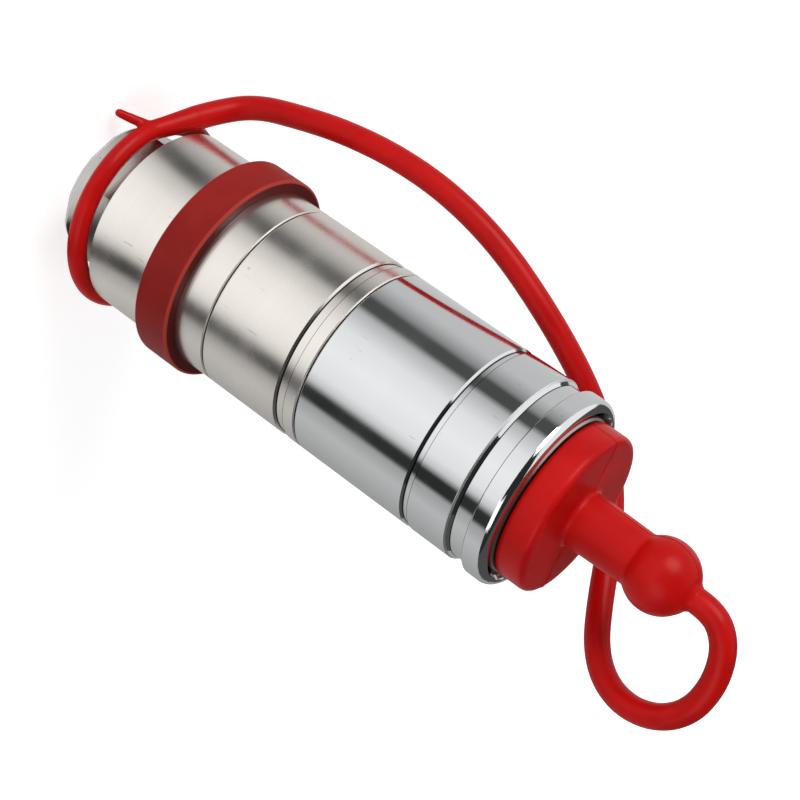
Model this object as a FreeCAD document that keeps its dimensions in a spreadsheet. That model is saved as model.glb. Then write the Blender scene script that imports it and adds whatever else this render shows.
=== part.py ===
import FreeCAD, Part
import math
import os
import Sketcher

# Push-pull hydraulic quick coupler, half-inch size, with its dust plug and lanyard.
# Millimetres. +Z runs along the axis from the hose port to the dust plug, and the
# origin is the centre of the port's end face, on which the coupler stands.
# A hexagon corner faces -Y.

doc = FreeCAD.newDocument("quick_coupler")
sheet = doc.addObject("Spreadsheet::Sheet", "Sizes")

# Each size with the words that say what it is. Plain numbers are the ones to set.
# Formulas place what fits in, seats on or lines up with something else.
SIZES = [
    # Clearances
    ("free_gap", "0.3", "between faces that pass each other"),
    ("fit_gap", "0.05", "radial, in a running or screwed fit"),
    ("edge_break", "0.35", "chamfer on a turned edge"),
    ("sleeve_travel", "5", "outer sleeve on the valve body, each way"),
    # Bar, springs and walls: the radii follow from these, outwards and inwards
    ("hex_flats", "27", "across the wrench flats"),
    ("wire_r", "1", "centring springs' wire"),
    ("sleeve_wall", "2.9", "outer sleeve, round the springs"),
    ("spigot_wall", "1.3", "spigots of the screwed joints"),
    ("mouth_wall", "2.4", "front sleeve, at its mouth"),
    ("relief_wall", "3.4", "front sleeve, at the balls' relief"),
    ("body_wall", "3.15", "valve body, round the socket"),
    ("valve_room_wall", "2.9", "valve body, round the poppet's head"),
    # Outer sleeve, three turned pieces screwed together
    ("sleeve_back", "12", "rear end of the outer sleeve"),
    ("rear_sleeve_len", "30.1", "rear end to the first joint line"),
    ("middle_sleeve_len", "22.9", "between the two joint lines"),
    ("front_sleeve_len", "43.9", "second joint line to the front lip"),
    ("rear_spigot_len", "7", "middle sleeve in the rear sleeve"),
    ("front_spigot_len", "9", "middle sleeve in the front sleeve"),
    ("rear_flange_len", "5.5", "inner flange that guides the adapter"),
    ("flange_spare", "1.5", "hexagon to that flange, beyond the travel"),
    ("clip_groove_depth", "0.5", "grooves for the bracket's clips"),
    ("rear_clip_setback", "5.1", "rear groove's back wall to the second joint line"),
    ("rear_clip_width", "2.35", "rear groove"),
    ("front_clip_setback", "18.8", "front groove's back wall to the lip"),
    ("front_clip_width", "1.7", "front groove"),
    ("neck_setback", "8.7", "neck's back wall to the lip"),
    ("neck_width", "4.1", "neck behind the lip"),
    ("neck_depth", "0.85", "neck behind the lip"),
    ("lip_rise", "0.3", "front lip outside the sleeve"),
    ("lip_width", "1.8", "front lip, across its face"),
    ("lip_flat", "0.18", "what the round leaves of the lip's face"),
    ("lip_back_round", "0.4", "lip's back edge"),
    ("mouth_flare", "2.1", "length of the flare at the lip"),
    # Circuit colour ring
    ("colour_ring_setback", "7.1", "colour ring's front to the first joint line"),
    ("colour_ring_len", "8.2", "colour ring"),
    ("colour_ring_rise", "2.4", "colour ring outside the sleeve"),
    ("colour_groove_depth", "0.6", "its groove in the rear sleeve"),
    # Port adapter
    ("hex_len", "22", "hexagon"),
    ("bar_spare", "0.2", "bar outside the hexagon before milling"),
    ("end_step", "1.99", "end face inside that bar"),
    ("end_taper", "0.36", "rise of the end's taper for each unit of length"),
    ("port_r", "9.32", "port thread's minor radius"),
    ("port_depth", "15.5", "port thread"),
    ("port_chamfer", "1.28", "countersink at the port"),
    ("drill_slope", "0.6", "length of the port's drill point for each unit of step"),
    ("passage_r", "7", "oil passage"),
    ("sump_step", "0.2", "recess behind the guide, inside the tail's bore"),
    ("sump_len", "8", "recess behind the guide"),
    # Valve body
    ("body_setback", "0.1", "valve body's front face behind the lip"),
    ("bore_depth", "24.8", "socket"),
    ("bore_lead", "1.15", "lead-in chamfer of the socket"),
    ("seat_step", "3.15", "valve seat's bore inside the socket"),
    ("seat_len", "2.4", "valve seat's bore"),
    ("room_spare", "6.1", "room behind the poppet's head when it is open"),
    ("tail_bore_step", "1.55", "bore of the tail inside the socket"),
    ("tail_back", "39", "tail's rear end"),
    ("tail_step", "1.65", "tail's thread inside the body"),
    ("tail_nose_step", "0.7", "plain nose of the tail inside its thread"),
    ("tail_nose_len", "4.2", "plain nose of the tail"),
    ("tail_groove_setback", "1.2", "O-ring groove from the tail's end"),
    ("tail_groove_len", "1.8", "groove of the tail's O-ring"),
    ("tail_groove_depth", "1.3", "groove of the tail's O-ring"),
    ("collar_len", "3", "spring collar"),
    # Locking balls, under the land of the front sleeve
    ("ball_count", "8", "balls"),
    ("ball_r", "2.38", "ball"),
    ("ball_bite", "1.28", "how far the balls stand into the socket"),
    ("ball_setback", "11.8", "ball plane behind the valve body's front"),
    ("ball_play", "0.07", "radial, under the land and in the holes"),
    ("throat_play", "0.09", "radial, in the holes' inner end"),
    ("ball_cone_offset", "0.48", "start of the holes' taper inside the balls' centres"),
    ("ball_cut_reach", "0.5", "cut of the ball holes, past the wall on both sides"),
    ("ball_land_half", "2.6", "half the land's length"),
    ("land_slope", "0.9", "length of the slope beside the land"),
    ("ball_relief_spare", "0.9", "relief beyond the travel"),
    ("guide_land_len", "2.2", "guide land in front of the front spring"),
    # Socket seal
    ("seal_setback", "21.2", "seal groove's back wall behind the valve body's front"),
    ("seal_groove_len", "3.9", "groove in the socket"),
    ("seal_groove_depth", "2", "groove in the socket"),
    ("seal_section_r", "1.05", "O-ring"),
    ("backup_len", "1.4", "backup ring"),
    # Poppet with its seal, guide and spring
    ("poppet_travel", "6", "poppet, towards the port"),
    ("land_gap", "0.3", "poppet's nose land in the seat's bore"),
    ("land_setback", "0.1", "nose land behind the seat's bore"),
    ("nose_land_len", "1.5", "poppet's nose land"),
    ("nose_cone_len", "2", "poppet's nose cone"),
    ("tip_r", "2.6", "poppet's tip"),
    ("tip_len", "2", "poppet's tip"),
    ("poppet_seal_r", "1.2", "section of the poppet's seal"),
    ("poppet_head_gap", "2.2", "oil's way round the poppet's rear flange"),
    ("poppet_head_len", "1.8", "poppet's rear flange"),
    ("poppet_boss_gap", "0.55", "radial, boss inside the spring"),
    ("poppet_boss_len", "3.5", "boss inside the spring"),
    ("stem_r", "2.4", "poppet's stem"),
    ("stem_overhang", "2", "stem behind the guide's hub"),
    ("guide_len", "2", "guide's rim and legs"),
    ("guide_hub_r", "4.5", "guide's hub"),
    ("guide_hub_front", "3", "hub in front of the rim"),
    ("guide_hub_back", "2", "hub behind the rim"),
    ("guide_leg_width", "2.6", "guide's legs"),
    ("guide_legs", "3", "guide's legs"),
    ("valve_wire_r", "0.6", "poppet spring's wire"),
    ("valve_coil_ledge", "2.05", "rear flange outside the poppet spring"),
    ("valve_turns", "9", "poppet spring"),
    # Centring springs
    ("coil_turns", "6", "each centring spring"),
    # Dust plug
    ("plug_gap", "0.2", "plug's disc in front of the valve body"),
    ("plug_disc_len", "6.2", "plug's disc"),
    ("plug_disc_gap", "0.5", "radial, plug's disc in the sleeve's mouth"),
    ("plug_rim_back", "0.9", "round at the back of the disc's rim"),
    ("plug_rim_front", "1.2", "round at the front of the disc's rim"),
    ("plug_insert_len", "8.8", "insert"),
    ("plug_core_depth", "6", "insert's core"),
    ("plug_core_draft", "0.5", "insert's core, narrower at its floor"),
    ("plug_wall", "2.6", "insert's wall"),
    ("plug_lead", "1.2", "lead-in of the insert, along it"),
    ("plug_lead_step", "0.6", "lead-in of the insert, across it"),
    ("plug_rib_len", "1.4", "insert's sealing rib"),
    ("plug_rib_setback", "3.4", "rib behind the disc"),
    ("grip_root_r", "5.45", "plug's stem at the disc"),
    ("grip_tip_r", "5.1", "plug's stem at the ball"),
    ("grip_fillet", "0.7", "stem's foot on the disc"),
    ("knob_r", "7", "plug's ball"),
    ("knob_reach", "17.6", "ball's centre in front of the disc"),
    ("exit_r", "3", "foot of the strap's exit on the ball"),
    ("exit_reach", "0.2", "strap's first face in front of the ball"),
    # Lanyard
    ("strap_r", "2.4", "strap"),
    ("eye_gap", "0.91", "radial, between the hexagon's corners and the eye"),
    ("eye_strand_r", "1.9", "eye's strand"),
    ("eye_lift", "8.4", "eye's centre"),
    ("eye_shift", "0.5", "eye's centre, off the axis along X"),
    ("eye_drop", "0.3", "eye's centre, off the axis along -Y"),
    ("eye_tilt", "4.2", "degrees"),
    ("eye_high_side", "15", "degrees round the axis, where the tilt is highest"),
    ("foot_len", "9.6", "strap's foot, from its last face into the eye"),
    ("foot_inset", "0.1", "foot's inner end inside the eye's strand"),
    ("tab_angle", "211", "degrees round the eye, pull tab's root"),
    ("tab_lean", "46", "degrees, pull tab from straight rearwards"),
    ("tab_heading", "278", "degrees round the axis, where the tab leans to"),
    ("tab_len", "7.6", "pull tab"),
    ("tab_root_r", "1.15", "pull tab at the eye"),
    ("tab_tip_r", "0.85", "pull tab's rounded end"),
    # Radii that follow
    ("hex_corner_r", "=hex_flats / 2 / cos(30deg)", "hexagon's corners"),
    ("hex_bore_r", "=hex_corner_r + free_gap", "rear bore over the hexagon"),
    ("hex_bore_edge_r", "=hex_bore_r + edge_break", "broken edge of the rear bore"),
    ("hex_round_r", "=hex_corner_r + bar_spare", "bar outside the hexagon"),
    ("body_r", "=hex_flats / 2", "adapter and valve body, in the spring chamber"),
    ("guide_r", "=body_r + fit_gap", "bores that guide on the body"),
    ("chamber_r", "=body_r + 2 * wire_r + 2 * free_gap", "inside, round the centring springs"),
    ("coil_r", "=chamber_r - free_gap - wire_r", "centring springs, wire centre"),
    ("spigot_r", "=chamber_r + spigot_wall", "sockets of the screwed joints"),
    ("spigot_outer_r", "=spigot_r - fit_gap", "spigots of the screwed joints"),
    ("sleeve_r", "=chamber_r + sleeve_wall", "outside of the sleeves"),
    ("edge_r", "=sleeve_r - edge_break", "sleeves' broken edges"),
    ("mouth_r", "=sleeve_r - mouth_wall", "bore behind the lip"),
    ("ball_relief_r", "=sleeve_r - relief_wall", "relief groove behind the land"),
    ("lip_r", "=sleeve_r + lip_rise", "front lip, outside"),
    ("lip_inner_r", "=lip_r - lip_width", "front lip, inside edge"),
    ("lip_round", "=lip_width - lip_flat", "lip's front edge, nearly the whole lip"),
    ("colour_ring_r", "=sleeve_r + colour_ring_rise", "colour ring, outside"),
    ("bore_r", "=body_r - body_wall", "socket for the nipple"),
    ("seat_r", "=bore_r - seat_step", "valve seat's bore"),
    ("valve_room_r", "=body_r - valve_room_wall", "room round the poppet's head"),
    ("tail_bore_r", "=bore_r - tail_bore_step", "bore of the tail"),
    ("tail_r", "=body_r - tail_step", "tail's thread"),
    ("tail_nose_r", "=tail_r - tail_nose_step", "plain nose of the tail"),
    ("end_r", "=hex_round_r - end_step", "rear end face, outside"),
    ("port_mouth_r", "=port_r + port_chamfer", "countersink at the port"),
    ("sump_r", "=tail_bore_r - sump_step", "recess behind the guide"),
    # Outer sleeve, places that follow
    ("joint_back", "=sleeve_back + rear_sleeve_len", "first joint line"),
    ("joint_front", "=joint_back + middle_sleeve_len", "second joint line"),
    ("sleeve_front", "=joint_front + front_sleeve_len", "front lip"),
    ("sleeve_back_edge", "=sleeve_back + edge_break", "broken edge"),
    ("joint_back_low", "=joint_back - edge_break", "broken edge"),
    ("joint_back_high", "=joint_back + edge_break", "broken edge"),
    ("joint_front_low", "=joint_front - edge_break", "broken edge"),
    ("joint_front_high", "=joint_front + edge_break", "broken edge"),
    ("flange_back", "=hex_len + sleeve_travel + flange_spare", "inner flange"),
    ("rear_seat", "=flange_back + rear_flange_len", "rear spring's seat"),
    ("rear_spigot_end", "=joint_back - rear_spigot_len", "spigot's end"),
    ("rear_socket", "=rear_spigot_end - fit_gap", "floor of the rear screwed joint"),
    ("front_spigot_end", "=joint_front + front_spigot_len", "spigot's end"),
    ("front_socket", "=front_spigot_end + fit_gap", "floor of the front screwed joint"),
    ("clip_floor_r", "=sleeve_r - clip_groove_depth", "clip grooves' floor"),
    ("rear_clip_back", "=joint_front - rear_clip_setback", "rear groove"),
    ("rear_clip_floor", "=rear_clip_back + clip_groove_depth", "its sloped wall"),
    ("rear_clip_front", "=rear_clip_back + rear_clip_width", "rear groove"),
    ("front_clip_back", "=sleeve_front - front_clip_setback", "front groove"),
    ("front_clip_floor", "=front_clip_back + clip_groove_depth", "its sloped wall"),
    ("front_clip_front", "=front_clip_back + front_clip_width", "front groove"),
    ("neck_back", "=sleeve_front - neck_setback", "neck"),
    ("neck_floor_back", "=neck_back + neck_depth", "neck's sloped wall"),
    ("neck_front", "=neck_back + neck_width", "neck"),
    ("neck_floor_r", "=sleeve_r - neck_depth", "neck's floor"),
    ("flare_end", "=sleeve_front - mouth_flare", "mouth"),
    ("colour_front", "=joint_back - colour_ring_setback", "colour ring's groove"),
    ("colour_back", "=colour_front - colour_ring_len", "colour ring's groove"),
    ("colour_floor_r", "=sleeve_r - colour_groove_depth", "colour ring's groove"),
    ("colour_inner_r", "=colour_floor_r + fit_gap / 2", "colour ring's bore"),
    ("colour_low", "=colour_back + fit_gap", "colour ring"),
    ("colour_high", "=colour_front - fit_gap", "colour ring"),
    ("colour_low_edge", "=colour_low + edge_break", "colour ring's edge"),
    ("colour_high_edge", "=colour_high - edge_break", "colour ring's edge"),
    ("colour_edge_r", "=colour_ring_r - edge_break", "colour ring's edge"),
    # Valve body, places that follow
    ("body_front", "=sleeve_front - body_setback", "front face"),
    ("flange_r", "=mouth_r - free_gap", "front flange"),
    ("flange_edge_r", "=flange_r - edge_break", "flange's edge"),
    ("flange_edge", "=body_front - edge_break", "flange's edge"),
    ("bore_bottom", "=body_front - bore_depth", "socket's floor"),
    ("bore_lead_r", "=bore_r + bore_lead", "lead-in"),
    ("bore_lead_back", "=body_front - bore_lead", "lead-in"),
    ("seal_groove_back", "=body_front - seal_setback", "seal groove"),
    ("seal_groove_front", "=seal_groove_back + seal_groove_len", "seal groove"),
    ("seal_groove_r", "=bore_r + seal_groove_depth", "seal groove's floor"),
    ("seat_back", "=bore_bottom - seat_len", "valve seat's rear edge"),
    ("cone_back", "=seat_back - (valve_room_r - seat_r)", "valve seat's cone"),
    ("ball_plane", "=body_front - ball_setback", "ball plane"),
    ("ball_pitch_r", "=bore_r + ball_r - ball_bite", "ball centres"),
    ("ball_hole_r", "=ball_r + ball_play", "ball holes, outside"),
    ("ball_hole_start", "=bore_r - ball_cut_reach", "ball holes, inner end of the cut"),
    ("ball_cone_start", "=ball_pitch_r - ball_cone_offset", "ball holes, start of the taper"),
    (
        "ball_throat_r",
        "=sqrt(ball_r ^ 2 - (ball_r - ball_bite) ^ 2) + throat_play",
        "ball holes at the socket, smaller than the ball",
    ),
    ("hole_end_r", "=body_r + ball_cut_reach", "ball holes, outer end of the cut"),
    ("ball_land_r", "=ball_pitch_r + ball_r + ball_play", "land over the balls"),
    ("land_back", "=ball_plane - ball_land_half", "land"),
    ("land_front", "=ball_plane + ball_land_half", "land"),
    ("land_back_slope", "=land_back - land_slope", "slope"),
    ("land_front_slope", "=land_front + land_slope", "slope"),
    ("flange_rear", "=land_front_slope + sleeve_travel + free_gap", "flange, stops the sleeve"),
    ("relief_back", "=land_back - sleeve_travel - ball_relief_spare", "relief"),
    ("front_seat", "=relief_back - guide_land_len", "front spring's seat"),
    ("collar_back", "=(rear_seat + front_seat - collar_len) / 2", "spring collar"),
    ("collar_front", "=collar_back + collar_len", "spring collar"),
    ("collar_r", "=chamber_r - free_gap", "spring collar"),
    ("collar_edge_r", "=collar_r - edge_break", "spring collar's edge"),
    ("collar_low_edge", "=collar_back + edge_break", "spring collar's edge"),
    ("collar_high_edge", "=collar_front - edge_break", "spring collar's edge"),
    ("thread_r", "=tail_r + fit_gap", "bores on the tail's thread"),
    ("nose_bore_r", "=tail_nose_r + fit_gap", "bore on the tail's nose"),
    ("tail_nose_front", "=tail_back + tail_nose_len", "tail's nose"),
    ("tail_slope", "=tail_nose_front + tail_r - tail_nose_r", "slope to the thread"),
    ("tail_groove_back", "=tail_back + tail_groove_setback", "O-ring groove"),
    ("tail_groove_front", "=tail_groove_back + tail_groove_len", "O-ring groove"),
    ("tail_groove_r", "=tail_nose_r - tail_groove_depth", "O-ring groove"),
    # Port adapter, places that follow
    ("taper_end", "=end_step / end_taper", "end's taper"),
    ("adapter_slope", "=tail_nose_front + thread_r - nose_bore_r", "slope to the thread"),
    ("guide_seat", "=tail_back - guide_len", "guide's seat"),
    ("sump_back", "=guide_seat - sump_len", "recess behind the guide"),
    ("sump_slope", "=sump_back - (sump_r - passage_r)", "recess behind the guide"),
    ("port_cone", "=port_depth + (port_r - passage_r) * drill_slope", "port's drill point"),
    # Guide and poppet, places that follow
    ("guide_rim_r", "=nose_bore_r - fit_gap", "guide's rim"),
    ("guide_window_r", "=tail_bore_r", "outer edge of the guide's windows"),
    ("guide_low", "=guide_seat - guide_hub_back", "hub's rear end"),
    ("guide_high", "=tail_back + guide_hub_front", "hub's front end"),
    ("guide_hole_r", "=stem_r + fit_gap", "hub's hole"),
    ("guide_leg_start", "=(guide_hub_r + guide_hole_r) / 2", "legs' inner end, in the hub"),
    ("guide_leg_end", "=(guide_window_r + guide_rim_r) / 2", "legs' outer end, in the rim"),
    ("nose_land_back", "=seat_back - land_setback", "poppet's nose land"),
    ("nose_land_r", "=seat_r - land_gap", "poppet's nose land"),
    ("nose_land_front", "=nose_land_back + nose_land_len", "poppet's nose land"),
    ("nose_cone_front", "=nose_land_front + nose_cone_len", "poppet's nose cone"),
    ("tip_edge", "=nose_cone_front + tip_len - edge_break", "poppet's tip"),
    ("tip_front", "=nose_cone_front + tip_len", "poppet's tip"),
    ("tip_edge_r", "=tip_r - edge_break", "poppet's tip"),
    ("seal_room_back", "=nose_land_back - 2 * poppet_seal_r", "poppet's seal groove"),
    ("poppet_seal_mid", "=nose_land_back - poppet_seal_r", "poppet's seal"),
    (
        "poppet_seal_centre_r",
        "=seat_r + seat_back - poppet_seal_mid - (poppet_seal_r + fit_gap) * sqrt(2)",
        "poppet's seal, its section just clear of the seat's cone",
    ),
    ("seal_room_r", "=poppet_seal_centre_r - poppet_seal_r", "poppet's seal groove"),
    ("poppet_back", "=seal_room_back - poppet_head_len", "back of the poppet's head"),
    ("poppet_head_r", "=valve_room_r - poppet_head_gap", "poppet's rear flange"),
    ("valve_coil_r", "=poppet_head_r - valve_coil_ledge - valve_wire_r", "wire centre"),
    ("poppet_boss_r", "=valve_coil_r - valve_wire_r - poppet_boss_gap", "boss in the spring"),
    ("boss_back", "=poppet_back - poppet_boss_len", "boss inside the spring"),
    ("stem_back", "=guide_low - stem_overhang", "stem's end"),
    ("room_back", "=poppet_back - poppet_travel - room_spare", "room round the poppet"),
    ("room_slope", "=room_back - (valve_room_r - tail_bore_r)", "slope to the tail"),
    # Springs, seals and plug, places that follow
    ("valve_spring_len", "=poppet_back - tail_back", "poppet spring"),
    ("rear_spring_len", "=collar_back - rear_seat", "rear centring spring"),
    ("front_spring_len", "=front_seat - collar_front", "front centring spring"),
    ("seal_centre_r", "=seal_groove_r - seal_section_r - fit_gap", "socket's O-ring"),
    ("seal_mid", "=seal_groove_back + seal_section_r + fit_gap", "socket's O-ring"),
    ("backup_front", "=seal_groove_front - fit_gap", "backup ring"),
    ("backup_back", "=backup_front - backup_len", "backup ring"),
    ("backup_outer_r", "=seal_groove_r - fit_gap", "backup ring"),
    ("backup_bore_r", "=bore_r + fit_gap", "backup ring"),
    ("tail_seal_r", "=tail_groove_depth / 2", "section of the tail's O-ring"),
    ("tail_seal_centre_r", "=(tail_groove_r + nose_bore_r) / 2", "tail's O-ring"),
    ("tail_seal_mid", "=tail_groove_back + tail_groove_len / 2", "tail's O-ring"),
    ("disc_back", "=body_front + plug_gap", "plug's disc"),
    ("disc_front", "=disc_back + plug_disc_len", "plug's disc"),
    ("disc_r", "=mouth_r - plug_disc_gap", "plug's disc"),
    ("insert_r", "=bore_r - free_gap", "plug's insert"),
    ("insert_back", "=disc_back - plug_insert_len", "plug's insert"),
    ("insert_lead", "=insert_back + plug_lead", "lead-in of the insert"),
    ("insert_lead_r", "=insert_r - plug_lead_step", "lead-in of the insert"),
    ("core_r", "=insert_r - plug_wall", "insert's core"),
    ("core_front", "=insert_back + plug_core_depth", "insert's core"),
    ("core_end_r", "=core_r - plug_core_draft", "insert's core"),
    ("rib_r", "=bore_r - fit_gap", "insert's rib"),
    ("rib_front", "=disc_back - plug_rib_setback", "insert's rib"),
    ("rib_crest", "=rib_front - (rib_r - insert_r)", "insert's rib"),
    ("rib_back", "=rib_front - plug_rib_len", "insert's rib"),
    ("rib_foot", "=rib_back - (rib_r - insert_r)", "insert's rib"),
    ("knob_centre", "=disc_front + knob_reach", "plug's ball"),
    ("exit_foot", "=knob_centre + sqrt(knob_r ^ 2 - exit_r ^ 2)", "exit on the ball"),
    ("strap_start", "=knob_centre + knob_r + exit_reach", "strap's first face"),
    # Lanyard, what follows
    ("eye_r", "=hex_corner_r + eye_gap + eye_strand_r", "eye, to the strand's centre"),
    ("foot_end_r", "=eye_strand_r - foot_inset", "foot's inner end"),
]

row = 1
for alias, value, words in SIZES:
    sheet.set("A%d" % row, words)
    sheet.set("B%d" % row, value)
    sheet.setAlias("B%d" % row, alias)
    row += 1
doc.recompute()

# The strap's route from the plug's ball to the middle of the strap, and from there to
# the foot at the eye. The first point lies on the plug's exit face.
FRONT_ROUTE = [
    (0, 0, 140.0),
    (0, 0, 143.2),
    (1.9, 0.6, 146.6),
    (5.6, 1.6, 148.9),
    (11.0, 2.9, 149.9),
    (17.0, 4.7, 148.8),
    (21.6, 6.4, 144.9),
    (23.9, 8.2, 138.9),
    (23.2, 10.3, 132.6),
    (19.6, 12.6, 127.2),
    (13.4, 15.4, 122.8),
    (5.9, 19.2, 118.2),
    (-1.8, 22.4, 112.8),
    (-8.4, 24.0, 107.0),
    (-14.2, 22.4, 101.0),
    (-19.8, 18.0, 94.2),
]
REAR_ROUTE = [
    (-26.0, 12.6, 84.0),
    (-31.4, 8.8, 72.0),
    (-34.4, 6.5, 59.0),
    (-34.9, 4.9, 46.4),
    (-33.5, 4.2, 34.2),
    (-31.1, 4.2, 24.2),
    (-28.6, 3.9, 15.9),
    (-24.6, 0.9, 11.3),
    (-20.6, -3.8, 9.6),
]
# Tangent length of a bend as a share of the shorter run beside it
BEND_SHARE = 0.45
# Two sizes closer than this are the same edge
SAME_EDGE = 0.01


def size(alias):
    """A size from the sheet, as a number."""
    value = sheet.get(alias)
    return float(getattr(value, "Value", value))


def origin_part(body, role):
    """One of a body's own origin planes or axes."""
    return [f for f in body.Origin.OriginFeatures if f.Role == role][0]


def sketch_on(body, name, role="XZ_Plane", lift=None):
    """An empty sketch on one of the body's origin planes, lifted by a size of the sheet."""
    sketch = body.newObject("Sketcher::SketchObject", name)
    sketch.AttachmentSupport = [(origin_part(body, role), "")]
    sketch.MapMode = "FlatFace"
    if lift:
        sketch.setExpression("AttachmentOffset.Base.z", "Sizes." + lift)
    return sketch


def set_distance(sketch, kind, line, formula, value, name):
    """Ties the first point of a line to the sheet, across or up from the origin."""
    number = sketch.addConstraint(Sketcher.Constraint(kind, -1, 1, line, 1, value))
    sketch.renameConstraint(number, name)
    sketch.setExpression("Constraints." + name, formula)


def closed_profile(sketch, corners):
    """Straight lines through corners, each a pair of sizes; None is on the axis."""
    spots = []
    for across, up in corners:
        x = size(across) if across else 0.0
        y = size(up) if up else 0.0
        spots.append(FreeCAD.Vector(x, y, 0))
    count = len(spots)
    first = sketch.GeometryCount
    for i in range(count):
        sketch.addGeometry(Part.LineSegment(spots[i], spots[(i + 1) % count]))
    for i in range(count):
        following = first + (i + 1) % count
        sketch.addConstraint(Sketcher.Constraint("Coincident", first + i, 2, following, 1))
    for i, (across, up) in enumerate(corners):
        line = first + i
        if across:
            set_distance(
                sketch, "DistanceX", line, "Sizes." + across, size(across), "across%d" % i
            )
        else:
            sketch.addConstraint(Sketcher.Constraint("PointOnObject", line, 1, -2))
        if up:
            set_distance(sketch, "DistanceY", line, "Sizes." + up, size(up), "up%d" % i)
        else:
            sketch.addConstraint(Sketcher.Constraint("PointOnObject", line, 1, -1))


def turn(body, name, corners, kind="PartDesign::Revolution"):
    """Adds, or with a Groove cuts, a half section revolved about Z."""
    sketch = sketch_on(body, name + "_section")
    closed_profile(sketch, corners)
    feature = body.newObject(kind, name)
    feature.Profile = sketch
    feature.ReferenceAxis = (sketch, ["V_Axis"])
    feature.Angle = 360
    body.Tip = feature
    doc.recompute()


def turned(label, corners):
    """A turned piece."""
    body = doc.addObject("PartDesign::Body", label)
    body.Label = label
    turn(body, label + "_turn", corners)
    return body


def round_edge(body, name, radius, height, amount):
    """Rounds the turned edge of that radius at that height, by a size of the sheet."""
    base = body.Tip
    edges = []
    for number, edge in enumerate(base.Shape.Edges, 1):
        curve = edge.Curve
        if not isinstance(curve, Part.Circle):
            continue
        same_radius = abs(curve.Radius - size(radius)) < SAME_EDGE
        same_height = abs(curve.Center.z - size(height)) < SAME_EDGE
        if same_radius and same_height:
            edges.append("Edge%d" % number)
    fillet = body.newObject("PartDesign::Fillet", name)
    fillet.Base = (base, edges)
    fillet.setExpression("Radius", "Sizes." + amount)
    body.Tip = fillet
    doc.recompute()


def repeat_round(body, name, feature, count):
    """Repeats a feature evenly about Z."""
    pattern = body.newObject("PartDesign::PolarPattern", name)
    pattern.Originals = [feature]
    pattern.Axis = (origin_part(body, "Z_Axis"), [""])
    pattern.Angle = 360
    pattern.setExpression("Occurrences", "Sizes." + count)
    body.Tip = pattern
    doc.recompute()


def o_ring(label, centre_r, section_r, height):
    """A ring of round section about Z."""
    ring = doc.addObject("Part::Torus", label)
    ring.Label = label
    ring.setExpression("Radius1", "Sizes." + centre_r)
    ring.setExpression("Radius2", "Sizes." + section_r)
    ring.setExpression("Placement.Base.z", "Sizes." + height)
    return ring


def coil_spring(label, coil, wire, turns, low, length):
    """A compression spring between two seats, its wire a fit gap clear of both."""
    body = doc.addObject("PartDesign::Body", label)
    body.Label = label
    sketch = sketch_on(body, label + "_wire")
    lift = size(low) + size(wire) + size("fit_gap")
    middle = FreeCAD.Vector(size(coil), lift, 0)
    sketch.addGeometry(Part.Circle(middle, FreeCAD.Vector(0, 0, 1), size(wire)))
    sketch.addConstraint(Sketcher.Constraint("Radius", 0, size(wire)))
    sketch.renameConstraint(0, "wire")
    sketch.setExpression("Constraints.wire", "Sizes." + wire)
    sketch.addConstraint(Sketcher.Constraint("DistanceX", -1, 1, 0, 3, size(coil)))
    sketch.renameConstraint(1, "across")
    sketch.setExpression("Constraints.across", "Sizes." + coil)
    sketch.addConstraint(Sketcher.Constraint("DistanceY", -1, 1, 0, 3, lift))
    sketch.renameConstraint(2, "up")
    sketch.setExpression("Constraints.up", "Sizes.%s + Sizes.%s + Sizes.fit_gap" % (low, wire))
    helix = body.newObject("PartDesign::AdditiveHelix", label + "_coil")
    helix.Profile = sketch
    helix.ReferenceAxis = (sketch, ["V_Axis"])
    helix.Mode = "height-turns-angle"
    helix.setExpression(
        "Height", "Sizes.%s - 2 * Sizes.%s - 2 * Sizes.fit_gap" % (length, wire)
    )
    helix.setExpression("Turns", "Sizes." + turns)
    body.Tip = helix
    doc.recompute()
    return body


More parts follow.
